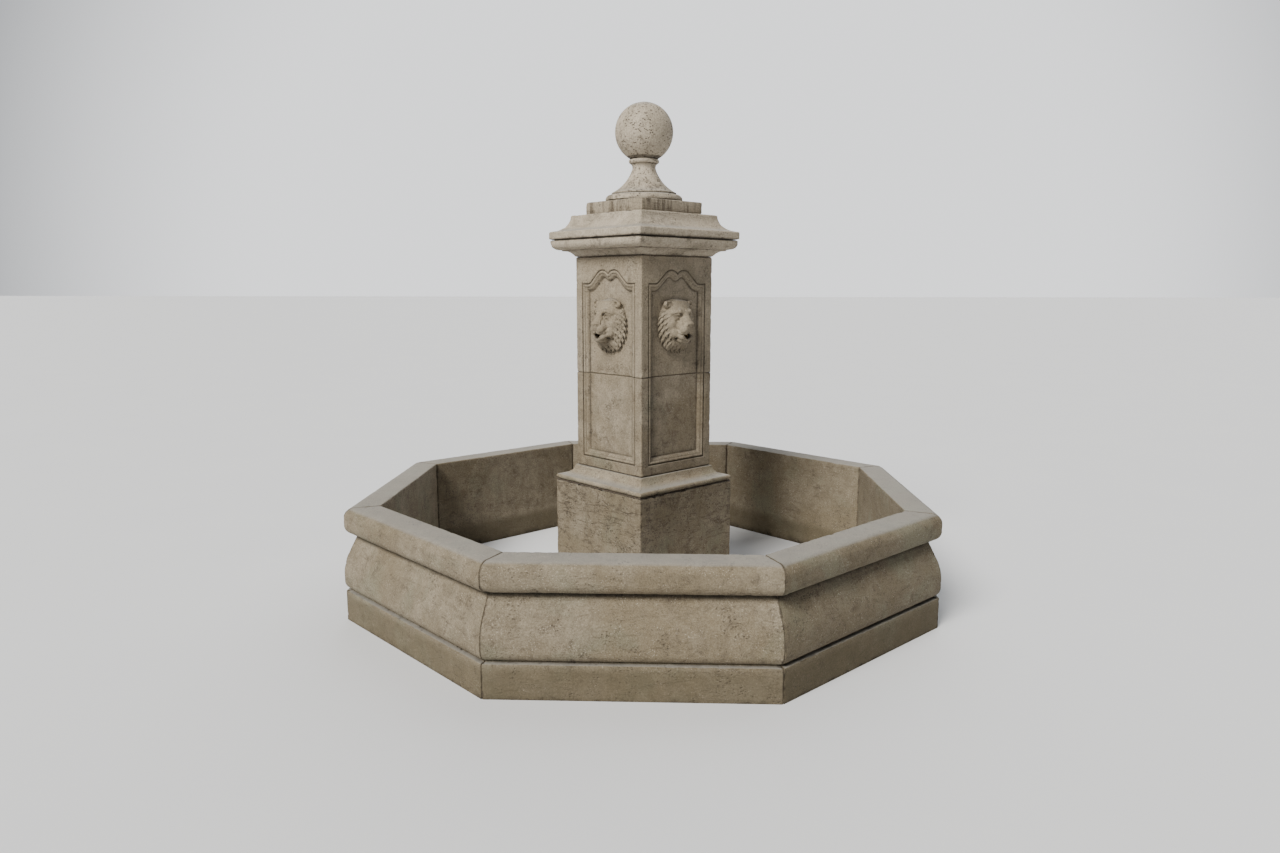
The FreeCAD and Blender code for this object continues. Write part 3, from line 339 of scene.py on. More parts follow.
def square_course(name, outline, seed, material, closed, per_side=64):
    """A square stone from its outline. A closed outline makes a hollow stone, an open one starts and ends on
    the axis."""
    profile, wear, dirt_and_shade = outline.arrays()
    flat, corner, corner_wear = square_ring(per_side)
    half = profile[:, 0]
    r = np.minimum(COURSE_CORNER, half)
    ring = flat[None] * (half - r)[:, None, None] + corner[None] * r[:, None, None]
    z = np.broadcast_to(profile[:, 1][:, None], ring.shape[:2])
    grid = turn_z(np.concatenate([ring, z[..., None]], -1), 45)
    exposed = ramp(half, 0.62 * half.max(), 0.72 * half.max())[:, None]
    w = np.maximum(spread(wear, 2, closed)[:, None], 0.9 * spread(corner_wear, 2, True)[None] * exposed)
    d = np.broadcast_to(spread(dirt_and_shade, 2, closed)[:, None], w.shape)
    moved, soil_and_shade = weathered(grid, grid_normals(grid, closed) * exposed[..., None], w, d, seed)
    faces = strip_faces(*w.shape, True) if closed else capped_faces(*w.shape)
    return new_piece(name + "_stone", moved, faces, name, material, soil_and_shade)


def base_block_outline():
    low, top, half = extent("base_block")
    o = Outline(200, low, 30)
    o.line(half - 2, low, 0.3, 0.7, step=24)
    o.line(half, low + 4, 0.8, 0.5, step=3)
    o.line(half, top - 15, 0.0, step=7)
    o.line(half, top - 4, 0.6, step=4)
    o.line(half - 2, top, 0.8, 0.7, step=2)
    o.line(200, top, 0.0, 0.5, step=24)
    o.line(200, low + 8, step=24)
    return o


def base_moulding_outline():
    low, top, half = extent("base_moulding")
    nose = half - 14
    o = Outline(130, low, 20)
    o.line(nose - 5, low, 0.0, 0.8, step=20)
    o.line(nose, low, 0.2, 0.9, step=3)
    o.turn(nose, low + 14, 160, 0.35, step=4)
    o.bow(nose - 30, low + 37, 3, 0.0, 0.08, step=4)
    o.bow(nose - 55, top - 2, 5, step=4)
    o.line(nose - 57, top, 0.4, step=2)
    o.line(232, top, 0.0, 0.35, step=4)
    o.line(130, top, step=24)
    o.line(130, low + 8, step=24)
    return o


def capital_outline():
    low, top, half = extent("capital")
    o = Outline(0.5, low, 30)
    o.line(231, low, 0.0, 0.4, step=40)
    o.line(239, low + 0.5, 0.1, 0.75, step=3)
    o.line(240, low + 4, 0.3, 0.3, step=2)
    o.bow(half - 42, low + 26, 7, 0.0, 0.12, step=4)
    o.line(half - 40, low + 30, 0.3, 0.35, step=2)
    o.line(half - 38, low + 31, 0.0, 0.75, step=2)
    o.bow(half, top - 14, -11, 0.12, step=4)
    o.mark(0.1, 0.1)
    o.line(half, top - 4, 0.35, 0.15, step=4)
    o.line(half - 3, top - 2, 0.2, 1.0, step=2)
    o.line(half - 7, top + 1.2, 0.0, 1.0, step=2)
    o.line(0.5, top + 1.2, 0.0, 0.6, step=40)
    return o


def cap_slab_outline():
    low, top, half = extent("cap_slab")
    o = Outline(0.5, low, 40)
    o.line(half - 11, low - 1.6, 0.0, 1.0, step=40)
    o.line(half - 6, low - 0.5, 0.0, 1.0, step=2)
    o.line(half - 1, low + 1.5, 0.3, 0.7, step=3)
    o.line(half, low + 5, 0.6, 0.2, step=3)
    o.line(half, low + 33, 0.4, 0.1, step=5)
    o.line(half - 4, low + 38, 0.7, step=3)
    o.line(half - 18, low + 41, 0.1, 0.05, step=4)
    o.bow(half - 76, top - 5, 16, step=5)
    o.line(half - 80, top, 0.6, step=3)
    o.line(206, top, 0.0, 0.25, step=8)
    o.line(0.5, top, 0.0, 0.9, step=50)
    return o


def cap_step_outline():
    low, top, half = extent("cap_step")
    o = Outline(0.5, low, 40)
    o.line(half - 7, low, 0.0, 0.6, step=40)
    o.line(half - 1, low + 0.5, 0.2, 0.5, step=3)
    o.line(half, low + 6, 0.4, 0.3, step=3)
    o.line(half, top - 7, 0.2, 0.15, step=5)
    o.turn(half - 7, top - 7, 80, 0.8, step=2)
    o.line(half - 13, top, 0.1, 0.1, step=4)
    o.line(0.5, top, 0.0, 0.6, step=50)
    return o


# ---------------------------------------------------------------- shaft
PANEL_HALF = 190.0
PANEL_BOTTOM = 672.0
PANEL_SUNK = 20.0
MASK_MIDDLE_Z = 1330.0
SHOULDER_U, SHOULDER_Z = 145.0, 1521.0
PEAK_U, PEAK_Z, PEAK_ROUND = 41.0, 1585.0, 60.0
HOLLOW_ROUND = 26.0
SHAFT_CORNER = 3.5
SHAFT_BORE = 0.43       # share of the outside


def panel_line():
    """The panel's outer line as (u, z) points: level shoulders, an ogee up to each of two peaks, a cusp."""
    peak_centre = PEAK_Z - PEAK_ROUND
    hollow_z = SHOULDER_Z + HOLLOW_ROUND
    across, rise = SHOULDER_U - PEAK_U, hollow_z - peak_centre
    both = PEAK_ROUND + HOLLOW_ROUND
    lean = math.pi / 2 - math.atan2(rise, across) - math.acos(both / math.hypot(across, rise))
    sweep = math.degrees(lean)
    past = math.degrees(math.asin(PEAK_U / PEAK_ROUND))
    o = Outline(0, PANEL_BOTTOM, 3)
    o.line(PANEL_HALF, PANEL_BOTTOM)
    o.line(PANEL_HALF, SHOULDER_Z)
    o.line(SHOULDER_U, SHOULDER_Z)
    o.turn(SHOULDER_U, hollow_z, -sweep, step=2)
    o.line(PEAK_U + PEAK_ROUND * math.sin(lean), peak_centre + PEAK_ROUND * math.cos(lean))
    o.turn(PEAK_U, peak_centre, sweep + past, step=2)
    right = np.array(o.points)
    left = right[::-1] * [-1, 1]
    return np.concatenate([right, left[1:-1]])


def signed_distance(points, line):
    """Distance from each point to a closed line, positive inside it."""
    best = np.full(len(points), 1e9)
    inside = np.zeros(len(points), bool)
    px, pz = points[:, 0], points[:, 1]
    for (ax, az), (bx, bz) in zip(line, np.roll(line, -1, 0)):
        dx, dz = bx - ax, bz - az
        length = dx * dx + dz * dz
        if length < 1e-12:
            continue
        t = np.clip(((px - ax) * dx + (pz - az) * dz) / length, 0, 1)
        best = np.minimum(best, (px - ax - t * dx) ** 2 + (pz - az - t * dz) ** 2)
        if az != bz:
            crosses = (az > pz) != (bz > pz)
            inside ^= crosses & (px < dx * (pz - az) / dz + ax)
    return np.where(inside, 1, -1) * np.sqrt(best)


def panel_depth(distance):
    """How far the moulding lies below the face at a distance inside the panel's line, and its grime with
    painted shade.
    """
    at = [-2.5, 0.0, 2.5, 4.5, 7.0, 10.0, 14.0, 17.0, 19.5, 23.0, 27.0, 31.0, 34.0, 36.5, 38.5, 41.0]
    depth = [0.0, 0.6, 5.2, 5.0, 1.8, 0.6, 1.2, 3.4, 6.4, 7.0, 8.6, 12.0, 16.0, 19.0, 19.9, PANEL_SUNK]
    # High values in the quirk and at the field's inner corner paint the shade there, with some grime.
    soil_and_shade = [0.0, 0.25, 0.85, 0.8, 0.1, 0.0, 0.05, 0.25, 0.5, 0.15, 0.05, 0.1, 0.3, 0.6, 0.75, 0.4]
    return np.interp(distance, at, depth), np.interp(distance, at + [50.0, 62.0], soil_and_shade + [0.15, 0.0])


def panel_columns():
    """Places across a face, closer together in the mouldings."""
    fine = np.arange(144, 195, 1.5)
    side = np.concatenate([np.arange(0, 142, 4.2), fine, np.arange(197, 231, 5.5), [231.5]])
    return np.concatenate([-side[:0:-1], side])


def panel_levels(bottom, top):
    """Heights up a block, closer together in the level mouldings and the ogee."""
    zones = [(bottom + 4, 668, 6.0), (668, 714, 1.5), (714, 1476, 6.5), (1476, 1588, 2.4),
             (1588, top - 4, 6.0)]
    levels = [bottom + 3]
    for low, high, step in zones:
        low, high = max(low, bottom + 4), min(high, top - 4)
        if high > low:
            levels += list(np.linspace(low, high, max(2, round((high - low) / step)))[:-1])
    return np.array(sorted(set(levels + [top - 4, top - 3])))


def shaft_block(name, seed, material):
    """One closely bedded block of the shaft, with its share of the four sunk panels and a square bore."""
    bottom, top, half = extent(name + "_block")
    bottom, top = bottom - 1.2, top + 0.8
    u = panel_columns()
    z = panel_levels(bottom, top)
    grid_u, grid_z = np.meshgrid(u, z)
    distance = signed_distance(np.stack([grid_u.ravel(), grid_z.ravel()], -1), panel_line())
    depth, soil_and_shade = (value.reshape(grid_u.shape) for value in panel_depth(distance))
    flat = np.stack([grid_u, -half + depth, grid_z], -1)
    corner = [np.stack([half - SHAFT_CORNER + SHAFT_CORNER * math.cos(a) + 0 * z,
                        SHAFT_CORNER - half + SHAFT_CORNER * math.sin(a) + 0 * z, z], -1)[:, None]
              for a in np.radians([-67.5, -45.0, -22.5])]
    face = np.concatenate([flat] + corner, 1)
    wear = np.zeros(face.shape[:2])
    wear[:, len(u):] = 1.0
    wear[:, [0, len(u) - 1]] = 0.8
    wear[:, [1, len(u) - 2]] = 0.4
    wear[[0, -1]] = np.maximum(wear[0], 0.5)
    dirt_and_shade = np.zeros(face.shape[:2])
    dirt_and_shade[:, :len(u)] = soil_and_shade
    dirt_and_shade[0] = dirt_and_shade[-1] = np.maximum(dirt_and_shade[0], 0.4)
    grid = np.concatenate([turn_z(face, 45 + 90 * side) for side in range(4)], 1)
    moved, dirt_and_shade = weathered(grid, grid_normals(grid), np.tile(wear, 4), np.tile(dirt_and_shade, 4), seed, 0.8)
    moved, dirt_and_shade = moved.reshape(grid.shape), dirt_and_shade.reshape(grid.shape[:2])

    def inward(row, new_z, share):
        return np.concatenate([row[:, :2] * share, np.full((len(row), 1), new_z)], 1)
    under = [inward(moved[0], bottom, share) for share in (SHAFT_BORE, 0.990)]
    over = [inward(moved[-1], top, share) for share in (0.990, SHAFT_BORE)]
    bore = [inward(moved[-1], top - (top - bottom) * i / 12, SHAFT_BORE) for i in range(1, 12)]
    rows = np.concatenate([under, moved, over, bore], 0)
    soil_and_shade = np.pad(dirt_and_shade, ((2, 0), (0, 0)), constant_values=0.8)
    soil_and_shade = np.pad(soil_and_shade, ((0, 13), (0, 0)), constant_values=0.5)
    return new_piece(name + "_stone", rows.reshape(-1, 3), strip_faces(*soil_and_shade.shape, True), name + "_block",
                     material, soil_and_shade.reshape(-1))


# ---------------------------------------------------------------- finial
LATHE_COLUMNS = 200


def lathe(name, outline, seed, material, amount=0.8):
    """A turned stone from an open outline that starts and ends on the axis."""
    profile, wear, dirt_and_shade = outline.arrays()
    angles = np.linspace(0, 2 * math.pi, LATHE_COLUMNS, endpoint=False)
    radius, z = profile[:, :1], profile[:, 1:]
    grid = np.stack([radius * np.cos(angles), radius * np.sin(angles), z + 0 * angles], -1)
    exposed = ramp(radius, 12, 30)[..., None]
    w, d = (np.broadcast_to(spread(value, 1, False)[:, None], grid.shape[:2]) for value in (wear, dirt_and_shade))
    moved, soil_and_shade = weathered(grid, grid_normals(grid) * exposed, w, d, seed, amount)
    return new_piece(name + "_stone", moved, capped_faces(*w.shape), name, material,
                     soil_and_shade)


def finial_pedestal_outline():
    low, top = (corner[2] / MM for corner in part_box("finial_pedestal"))
    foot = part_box("finial_pedestal")[1][0] / MM
    o = Outline(1.5, low, 20)
    o.line(foot - 6, low, 0.0, 0.6, step=30)
    o.line(foot - 1, low + 1, 0.2, 0.35, step=3)
    o.bow(foot - 22, low + 29, -8, 0.12, step=4)
    o.line(foot - 29, low + 30.5, 0.2, 0.6, step=3)
    o.line(foot - 31, low + 31.5, 0.0, 0.8, step=2)
    o.line(foot - 30, low + 34, 0.2, 0.2, step=2)
    o.line(foot - 30, low + 38.5, 0.6, 0.0, step=2)
    o.bow(57, low + 150, 15, step=4)
    o.bow(63, top - 23, 3, 0.0, 0.2, step=4)
    o.mark(0.1, 0.7)
    o.turn(62, top - 11, 160, 0.35, step=3)
    o.line(54, top, 0.0, 1.0, step=3)
    o.line(1.5, top, 0.0, 1.0, step=20)
    return o


def finial_ball_outline():
    low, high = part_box("finial_ball")
    radius = high[0] / MM
    centre = high[2] / MM - radius
    seat = math.degrees(math.asin((low[2] / MM - centre) / radius))
    start = math.radians(seat)
    o = Outline(1.5, low[2] / MM, 20)
    o.line(radius * math.cos(start), low[2] / MM, 0.3, 1.0, step=20)
    o.turn(0, centre, 8, 0.2, 0.7, step=3)
    o.turn(0, centre, -8 - seat, step=4)
    o.turn(0, centre, 89.4, step=4)
    return o


# ---------------------------------------------------------------- lion mask
VOXEL = 1.6
MASK_LOW = (-4.8, -4.8, -140)
MASK_HIGH = (128, 122, 136)
MASK_BREADTH = 1.07
OVAL_U, OVAL_V = 104, 118
SPOUT_V, SPOUT_ROUND, LIP_OUT = -54, 12.5, 90


class Carving:
    """A solid held as distances on a grid, in the mask's own axes: u right, d out of the field, v up."""

    def __init__(self, low, high, voxel):
        self.low = np.array(low, float)
        self.voxel = voxel
        self.shape = tuple(int(math.ceil((b - a) / voxel)) + 1 for a, b in zip(low, high))
        self.value = np.full(self.shape, 60.0, np.float32)

    def window(self, low, high):
        a = np.maximum(np.floor((np.array(low) - self.low) / self.voxel).astype(int), 0)
        b = np.minimum(np.ceil((np.array(high) - self.low) / self.voxel).astype(int) + 1, self.shape)
        if (b <= a).any():
            return None, None
        axes = [self.low[i] + self.voxel * np.arange(a[i], b[i]) for i in range(3)]
        return tuple(slice(a[i], b[i]) for i in range(3)), np.meshgrid(*axes, indexing="ij")

    def blend(self, window, distance, k, remove):
        """Adds or removes a shape, with a fillet about k wide."""
        way = -1 if remove else 1
        old = way * self.value[window]
        h = np.clip(0.5 + 0.5 * (old - distance) / k, 0, 1)
        self.value[window] = way * (old * (1 - h) + distance * h - k * h * (1 - h))

    def lump(self, centre, radii, k=6.0, remove=False, tilt=0.0):
        """An ellipsoid added or removed. tilt turns it about d, in degrees."""
        c = np.array(centre, float)
        r = np.broadcast_to(np.array(radii, float), 3)
        reach = r.max() + 3 * k
        window, p = self.window(c - reach, c + reach)
        if window is None:
            return
        du, dd, dv = p[0] - c[0], p[1] - c[1], p[2] - c[2]
        a = math.radians(tilt)
        du, dv = du * math.cos(a) + dv * math.sin(a), dv * math.cos(a) - du * math.sin(a)
        k0 = np.sqrt((du / r[0]) ** 2 + (dd / r[1]) ** 2 + (dv / r[2]) ** 2)
        k1 = np.sqrt((du / r[0] ** 2) ** 2 + (dd / r[1] ** 2) ** 2 + (dv / r[2] ** 2) ** 2)
        self.blend(window, k0 * (k0 - 1) / np.maximum(k1, 1e-6), k, remove)

    def limb(self, a, b, ra, rb, k=4.0, remove=False):
        """A tapered rod with round ends from a to b."""
        a, b = np.array(a, float), np.array(b, float)
        reach = max(ra, rb) + 3 * k
        window, p = self.window(np.minimum(a, b) - reach, np.maximum(a, b) + reach)
        if window is None:
            return
        along = b - a
        q = np.stack(p, -1) - a
        t = np.clip((q @ along) / max(along @ along, 1e-9), 0, 1)
        distance = np.linalg.norm(q - t[..., None] * along, axis=-1) - (ra + (rb - ra) * t)
        self.blend(window, distance, k, remove)

    def strand(self, points, widths, k=2.5, remove=False):
        """Rods end to end along a line of points."""
        for a, b, ra, rb in zip(points, points[1:], widths, widths[1:]):
            self.limb(a, b, ra, rb, k, remove)


def curl(start, heading, length, bend, swing, out, out_end, steps=10):
    """An S-shaped line on the relief: heading and bend in degrees, out from the field along it."""
    u, v = start
    points = []
    for i in range(steps + 1):
        t = i / steps
        points.append((u, out + (out_end - out) * t ** 1.4, v))
        angle = math.radians(heading + bend * t + swing * math.sin(2 * math.pi * t))
        u += math.cos(angle) * length / steps
        v += math.sin(angle) * length / steps
    return np.array(points)


def lock(carving, start, heading, length, bend, swing, out, out_end, width):
    """A lock of mane: three strands side by side that draw together at the tip."""
    line = curl(start, heading, length, bend, swing, out, out_end)
    t = np.linspace(0, 1, len(line))
    along = np.gradient(line, axis=0)
    side = np.stack([-along[:, 2], 0 * t, along[:, 0]], -1)
    side /= np.linalg.norm(side, axis=1, keepdims=True)
    apart = width * 0.62 * np.interp(t, [0, 0.3, 1], [0.8, 1.0, 0.0])
    girth = width * np.interp(t, [0, 0.3, 0.75, 1], [0.42, 0.46, 0.38, 0.16])
    for share, lift, reach in ((-1, -1.5, 0.9), (1, -1.5, 0.94), (0, 1.0, 1.0)):
        strand = line + side * (share * apart)[:, None] + np.array([0, lift, 0])
        count = max(3, round(reach * len(line)))
        carving.strand(strand[:count].tolist(), girth[:count].tolist(), 0.9)


MANE_ROWS = [
    # share of the oval in u and v, how far out from the field at root and tip, length, width,
    # lowest and highest angle, count
    (0.90, 0.88, 17, 8, 36, 6.6, -84, 76, 23),
    (0.78, 0.76, 26, 16, 38, 6.4, -82, 70, 19),
    (0.66, 0.64, 36, 25, 34, 6.0, -70, 62, 15),
]


def carve_mane(c):
    """Locks in three rows, each row nearer the face and further out, then a beard and a forelock."""
    c.lump((0, 0, -4), (100, 27, 112), 4)
    c.lump((0, 0, 26), (102, 33, 97), 6)
    c.lump((0, 6, 4), (84, 38, 96), 6)
    for index, (ru, rv, out, out_end, length, width, low, high, count) in enumerate(MANE_ROWS):
        for i in range(count):
            angle = low + (high - low) * (i + 0.5 * (index % 2)) / (count - 0.5)
            a = math.radians(angle)
            start = (ru * OVAL_U * math.cos(a), rv * OVAL_V * math.sin(a) + 2)
            size = 0.86 + 0.28 * lattice(i, index, 5, 3)
            shorter = 0.72 if angle > 50 else 1.0
            swing = 26 if (i + index) % 2 else -20
            lock(c, start, 0.46 * angle - 50, length * size * shorter, -12, swing, out, out_end, width * size)
    for i, (u, heading) in enumerate([(2, -91), (17, -86), (32, -80), (47, -72)]):
        lock(c, (u, -78), heading, 46 - 2 * i, 8 if i % 2 else -10, 22, 46 - 6 * i, 11, 9.0)
    for i, (u, heading) in enumerate([(9, -88), (25, -84), (41, -76), (57, -66)]):
        lock(c, (u, -92), heading, 34 - 2 * i, -8, -22, 25 - 2 * i, 7, 8.0)
    for i, (u, v, heading) in enumerate([(6, 96, 62), (20, 98, 44), (36, 98, 26), (50, 94, 40)]):
        lock(c, (u, v), heading, 22, -30, 14, 42 - 3 * i, 22, 6.5)


def carve_head(c):
    """Skull, brow, cheeks, muzzle, jaw, eye and ear: the right half, which is mirrored."""
    c.lump((0, 20, 48), (70, 47, 64), 12)
    c.lump((46, 34, 4), (27, 25, 34), 10)
    c.lump((0, 62, -8), (42, 36, 32), 12)
    c.limb((0, 52, 52), (0, 84, 6), 23, 22, 10)
    c.lump((0, 78, -8), (30, 26, 26), 10)
    c.lump((19, 80, -22), (22, 22, 21), 7)
    c.limb((11, 90, -38), (34, 73, -39), 7.5, 7, 5)
    c.limb((33, 72, -34), (50, 47, -24), 6.5, 5, 5)
    c.strand([(8, 64, 54), (29, 63, 61), (57, 44, 54)], [9.5, 9.5, 7], 9)
    c.limb((0, 69, 64), (0, 60, 92), 2.6, 2.0, 6, remove=True)
    c.lump((35, 65, 41), (20, 18, 12.5), 4, remove=True, tilt=-10)
    c.lump((35, 49, 40), (13.5, 11, 10), 1.5)
    c.strand([(21, 61, 38), (34, 63, 49), (50, 51, 43)], [3.4, 4.2, 3.2])
    c.strand([(21, 60, 37), (35, 58.5, 31), (50, 50, 38)], [2.8, 3.2, 2.6])
    c.limb((24, 70, 26), (54, 45, 12), 2.2, 2.2, 7, remove=True)
    c.limb((23, 80, 16), (27, 86, 0), 1.8, 1.8, 7, remove=True)
    c.lump((0, 99, 4), (22, 12, 12), 4)
    c.lump((14, 98, 0), (9.5, 11, 9.5), 3)
    c.lump((10.5, 110, -1.5), (5, 6, 3.6), 2, remove=True)
    c.limb((0, 107, -8), (0, 101, -34), 2.2, 2.4, 2.5, remove=True)
    c.lump((0, 56, -70), (34, 28, 20), 8)
    c.limb((0, 80, -70), (24, 75, -59), 10.5, 10.5, 5)
    c.limb((24, 75, -59), (42, 54, -46), 10.5, 9, 8)
    c.lump((46, 43, -36), (17, 17, 26), 9)
    c.limb((0, 74, -54), (0, 118, -53), 12.5, 15, 3, remove=True)
    c.strand([(8, 98, -53), (30, 90, -50), (46, 66, -40)], [2.2, 2.4, 2.2], 1.5, remove=True)
    c.lump((70, 22, 93), (17, 14, 18), 5)
    c.strand([(57, 27, 84), (61, 32, 106), (77, 28, 107), (85, 22, 90)], [5, 4.5, 4.2, 4], 3.5)
    c.lump((70, 38, 95), (8, 13, 10.5), 3, remove=True, tilt=16)


FURROWS = [
    # lines cut round the lips and eyes and over brow and cheeks, as (u, v) points, mirrored
    [(9, -53), (22, -52), (34, -48), (45, -40)],
    [(20, 46), (30, 52), (42, 53), (54, 46)],
    [(22, 38), (34, 33), (48, 36)],
    [(5, 62), (7, 80), (14, 98)],
    [(13, 72), (18, 86), (28, 100)],
    [(23, 75), (31, 86), (43, 95)],
    [(34, 76), (43, 83), (54, 88)],
    [(47, 68), (55, 72), (63, 76)],
    [(50, 22), (60, 10), (64, -6)],
    [(44, 8), (54, -4), (58, -20)],
    [(28, -8), (36, -12), (44, -12)],
    [(28, -16), (36, -20), (43, -21)],
    [(26, -24), (33, -28), (40, -29)],
]


def engraved(points, normals):
    """The depth of the fine lines cut into brow, cheek and lip at each point of the mask."""
    u, v = np.abs(points[:, 0]), points[:, 2]
    depth = np.zeros(len(points))
    for line in FURROWS:
        best = np.full(len(points), 99.0)
        for (ua, va), (ub, vb) in zip(line, line[1:]):
            du, dv = ub - ua, vb - va
            t = np.clip(((u - ua) * du + (v - va) * dv) / (du * du + dv * dv), 0, 1)
            best = np.minimum(best, np.hypot(u - ua - t * du, v - va - t * dv))
        depth = np.maximum(depth, 1.8 * np.exp(-(best / 1.9) ** 2))
    angle = np.degrees(np.arctan2(v - 20, u))
    radius = np.hypot(u, v - 20)
    comb = 0.5 + 0.5 * np.cos(2 * math.pi * (angle + 5 * np.sin(radius / 9)) / 8)
    crown = ramp(radius, 68, 76) * ramp(angle, 38, 50)
    depth = np.maximum(depth, 2.2 * comb * crown)
    return depth * ramp(normals[:, 1], 0.1, 0.5)


def mask_mesh():
    """Vertices and quads of the whole carved head, in its own axes."""
    c = Carving(MASK_LOW, MASK_HIGH, VOXEL)
    carve_mane(c)
    carve_head(c)
    u, d, v = np.meshgrid(*[c.low[i] + c.voxel * np.arange(c.shape[i]) for i in range(3)], indexing="ij")
    value = np.maximum(c.value, -d)
    throat = SPOUT_ROUND - np.hypot(u, v - SPOUT_V)
    value = np.where(d < LIP_OUT, np.maximum(value, throat), value)
    middle = round(-c.low[0] / c.voxel)
    half = value[middle:]
    whole = np.concatenate([half[:0:-1], half], 0)
    grid = openvdb.FloatGrid(60.0)
    grid.copyFromArray(np.ascontiguousarray(whole.astype(np.float32)))
    points, quads = grid.convertToQuads(isovalue=0.0)
    points = points * c.voxel + [-c.voxel * (len(half) - 1), c.low[1], c.low[2]]
    return points, quads[:, ::-1]


def mask_painted_shade(points, normals):
    """Painted shade under overhangs, low down between the locks and in the mouth."""
    # Faces that look down are darkened: painted shade under overhangs.
    under = ramp(-normals[:, 2], 0.35, 0.95) * 0.22
    # Faces near the field that face sideways, between the locks, are darkened: painted shade.
    low = ramp(22 - points[:, 1], 0, 20) * 0.3
    # The spout hole and the lip line round it are darkened: painted shade.
    mouth = np.exp(-((points[:, 0] / 30) ** 2 + ((points[:, 2] - SPOUT_V) / 15) ** 2))
    mouth *= ramp(96 - points[:, 1], 0, 20)
    return under + low * ramp(-np.abs(normals[:, 1]), -0.9, -0.4) + 1.2 * mouth


def settle(points, quads, rounds, strength):
    """Evens out the grid's steps by moving each point part of the way to its neighbours' middle."""
    edges = np.concatenate([quads[:, [0, 1]], quads[:, [1, 2]], quads[:, [2, 3]], quads[:, [3, 0]]])
    count = np.bincount(edges.ravel(), minlength=len(points)).astype(float)
    for _ in range(rounds):
        total = np.zeros_like(points)
        np.add.at(total, edges[:, 0], points[edges[:, 1]])
        np.add.at(total, edges[:, 1], points[edges[:, 0]])
        points = points + strength * (total / count[:, None] - points)
    return points


def vertex_normals(points, quads):
    face = np.cross(points[quads[:, 2]] - points[quads[:, 0]], points[quads[:, 3]] - points[quads[:, 1]])
    n = np.zeros_like(points)
    for i in range(4):
        np.add.at(n, quads[:, i], face)
    return n / np.maximum(np.linalg.norm(n, axis=1, keepdims=True), 1e-9)


def hollows(points, quads, rounds):
    """How sunken each point is beside the smoothed surface round it."""
    normals = vertex_normals(points, quads)
    smooth = settle(points, quads, rounds, 0.8)
    return ((smooth - points) * normals).sum(1), normals


def lion_masks(material):
    """The same carving on each face, in the panel's field, weathered differently."""
    points, quads = mask_mesh()
    points = settle(points, quads, 2, 0.5)
    normals = vertex_normals(points, quads)
    cut = engraved(points, normals)
    points = points - normals * cut[:, None]
    sunk, normals = hollows(points, quads, 10)
    # Besides that painted shade, hollows below the smoothed surface get painted shade and the cut lines get
    # painted shade with some grime.
    dirt_and_shade = mask_painted_shade(points, normals) + ramp(sunk, 0.15, 1.3) * 0.55 + 0.28 * cut
    wear = ramp(-sunk, 0.1, 0.9) * 0.3
    field = extent("shaft_upper_block")[2] - PANEL_SUNK
    place = np.stack([MASK_BREADTH * points[:, 0], -field - points[:, 1], points[:, 2] + MASK_MIDDLE_Z], -1)
    out = np.stack([normals[:, 0], -normals[:, 1], normals[:, 2]], -1) * (points[:, 1] > 0.8)[:, None]
    for index, (face, degrees) in enumerate(FACES.items()):
        moved, soil_and_shade = weathered(turn_z(place, degrees), turn_z(out, degrees), wear, dirt_and_shade,
                                300 + 20 * index, 0.32)
        new_piece("lion_mask_carved_" + face, moved, quads.tolist(), "lion_mask_" + face,
                  material, soil_and_shade, angle=80)


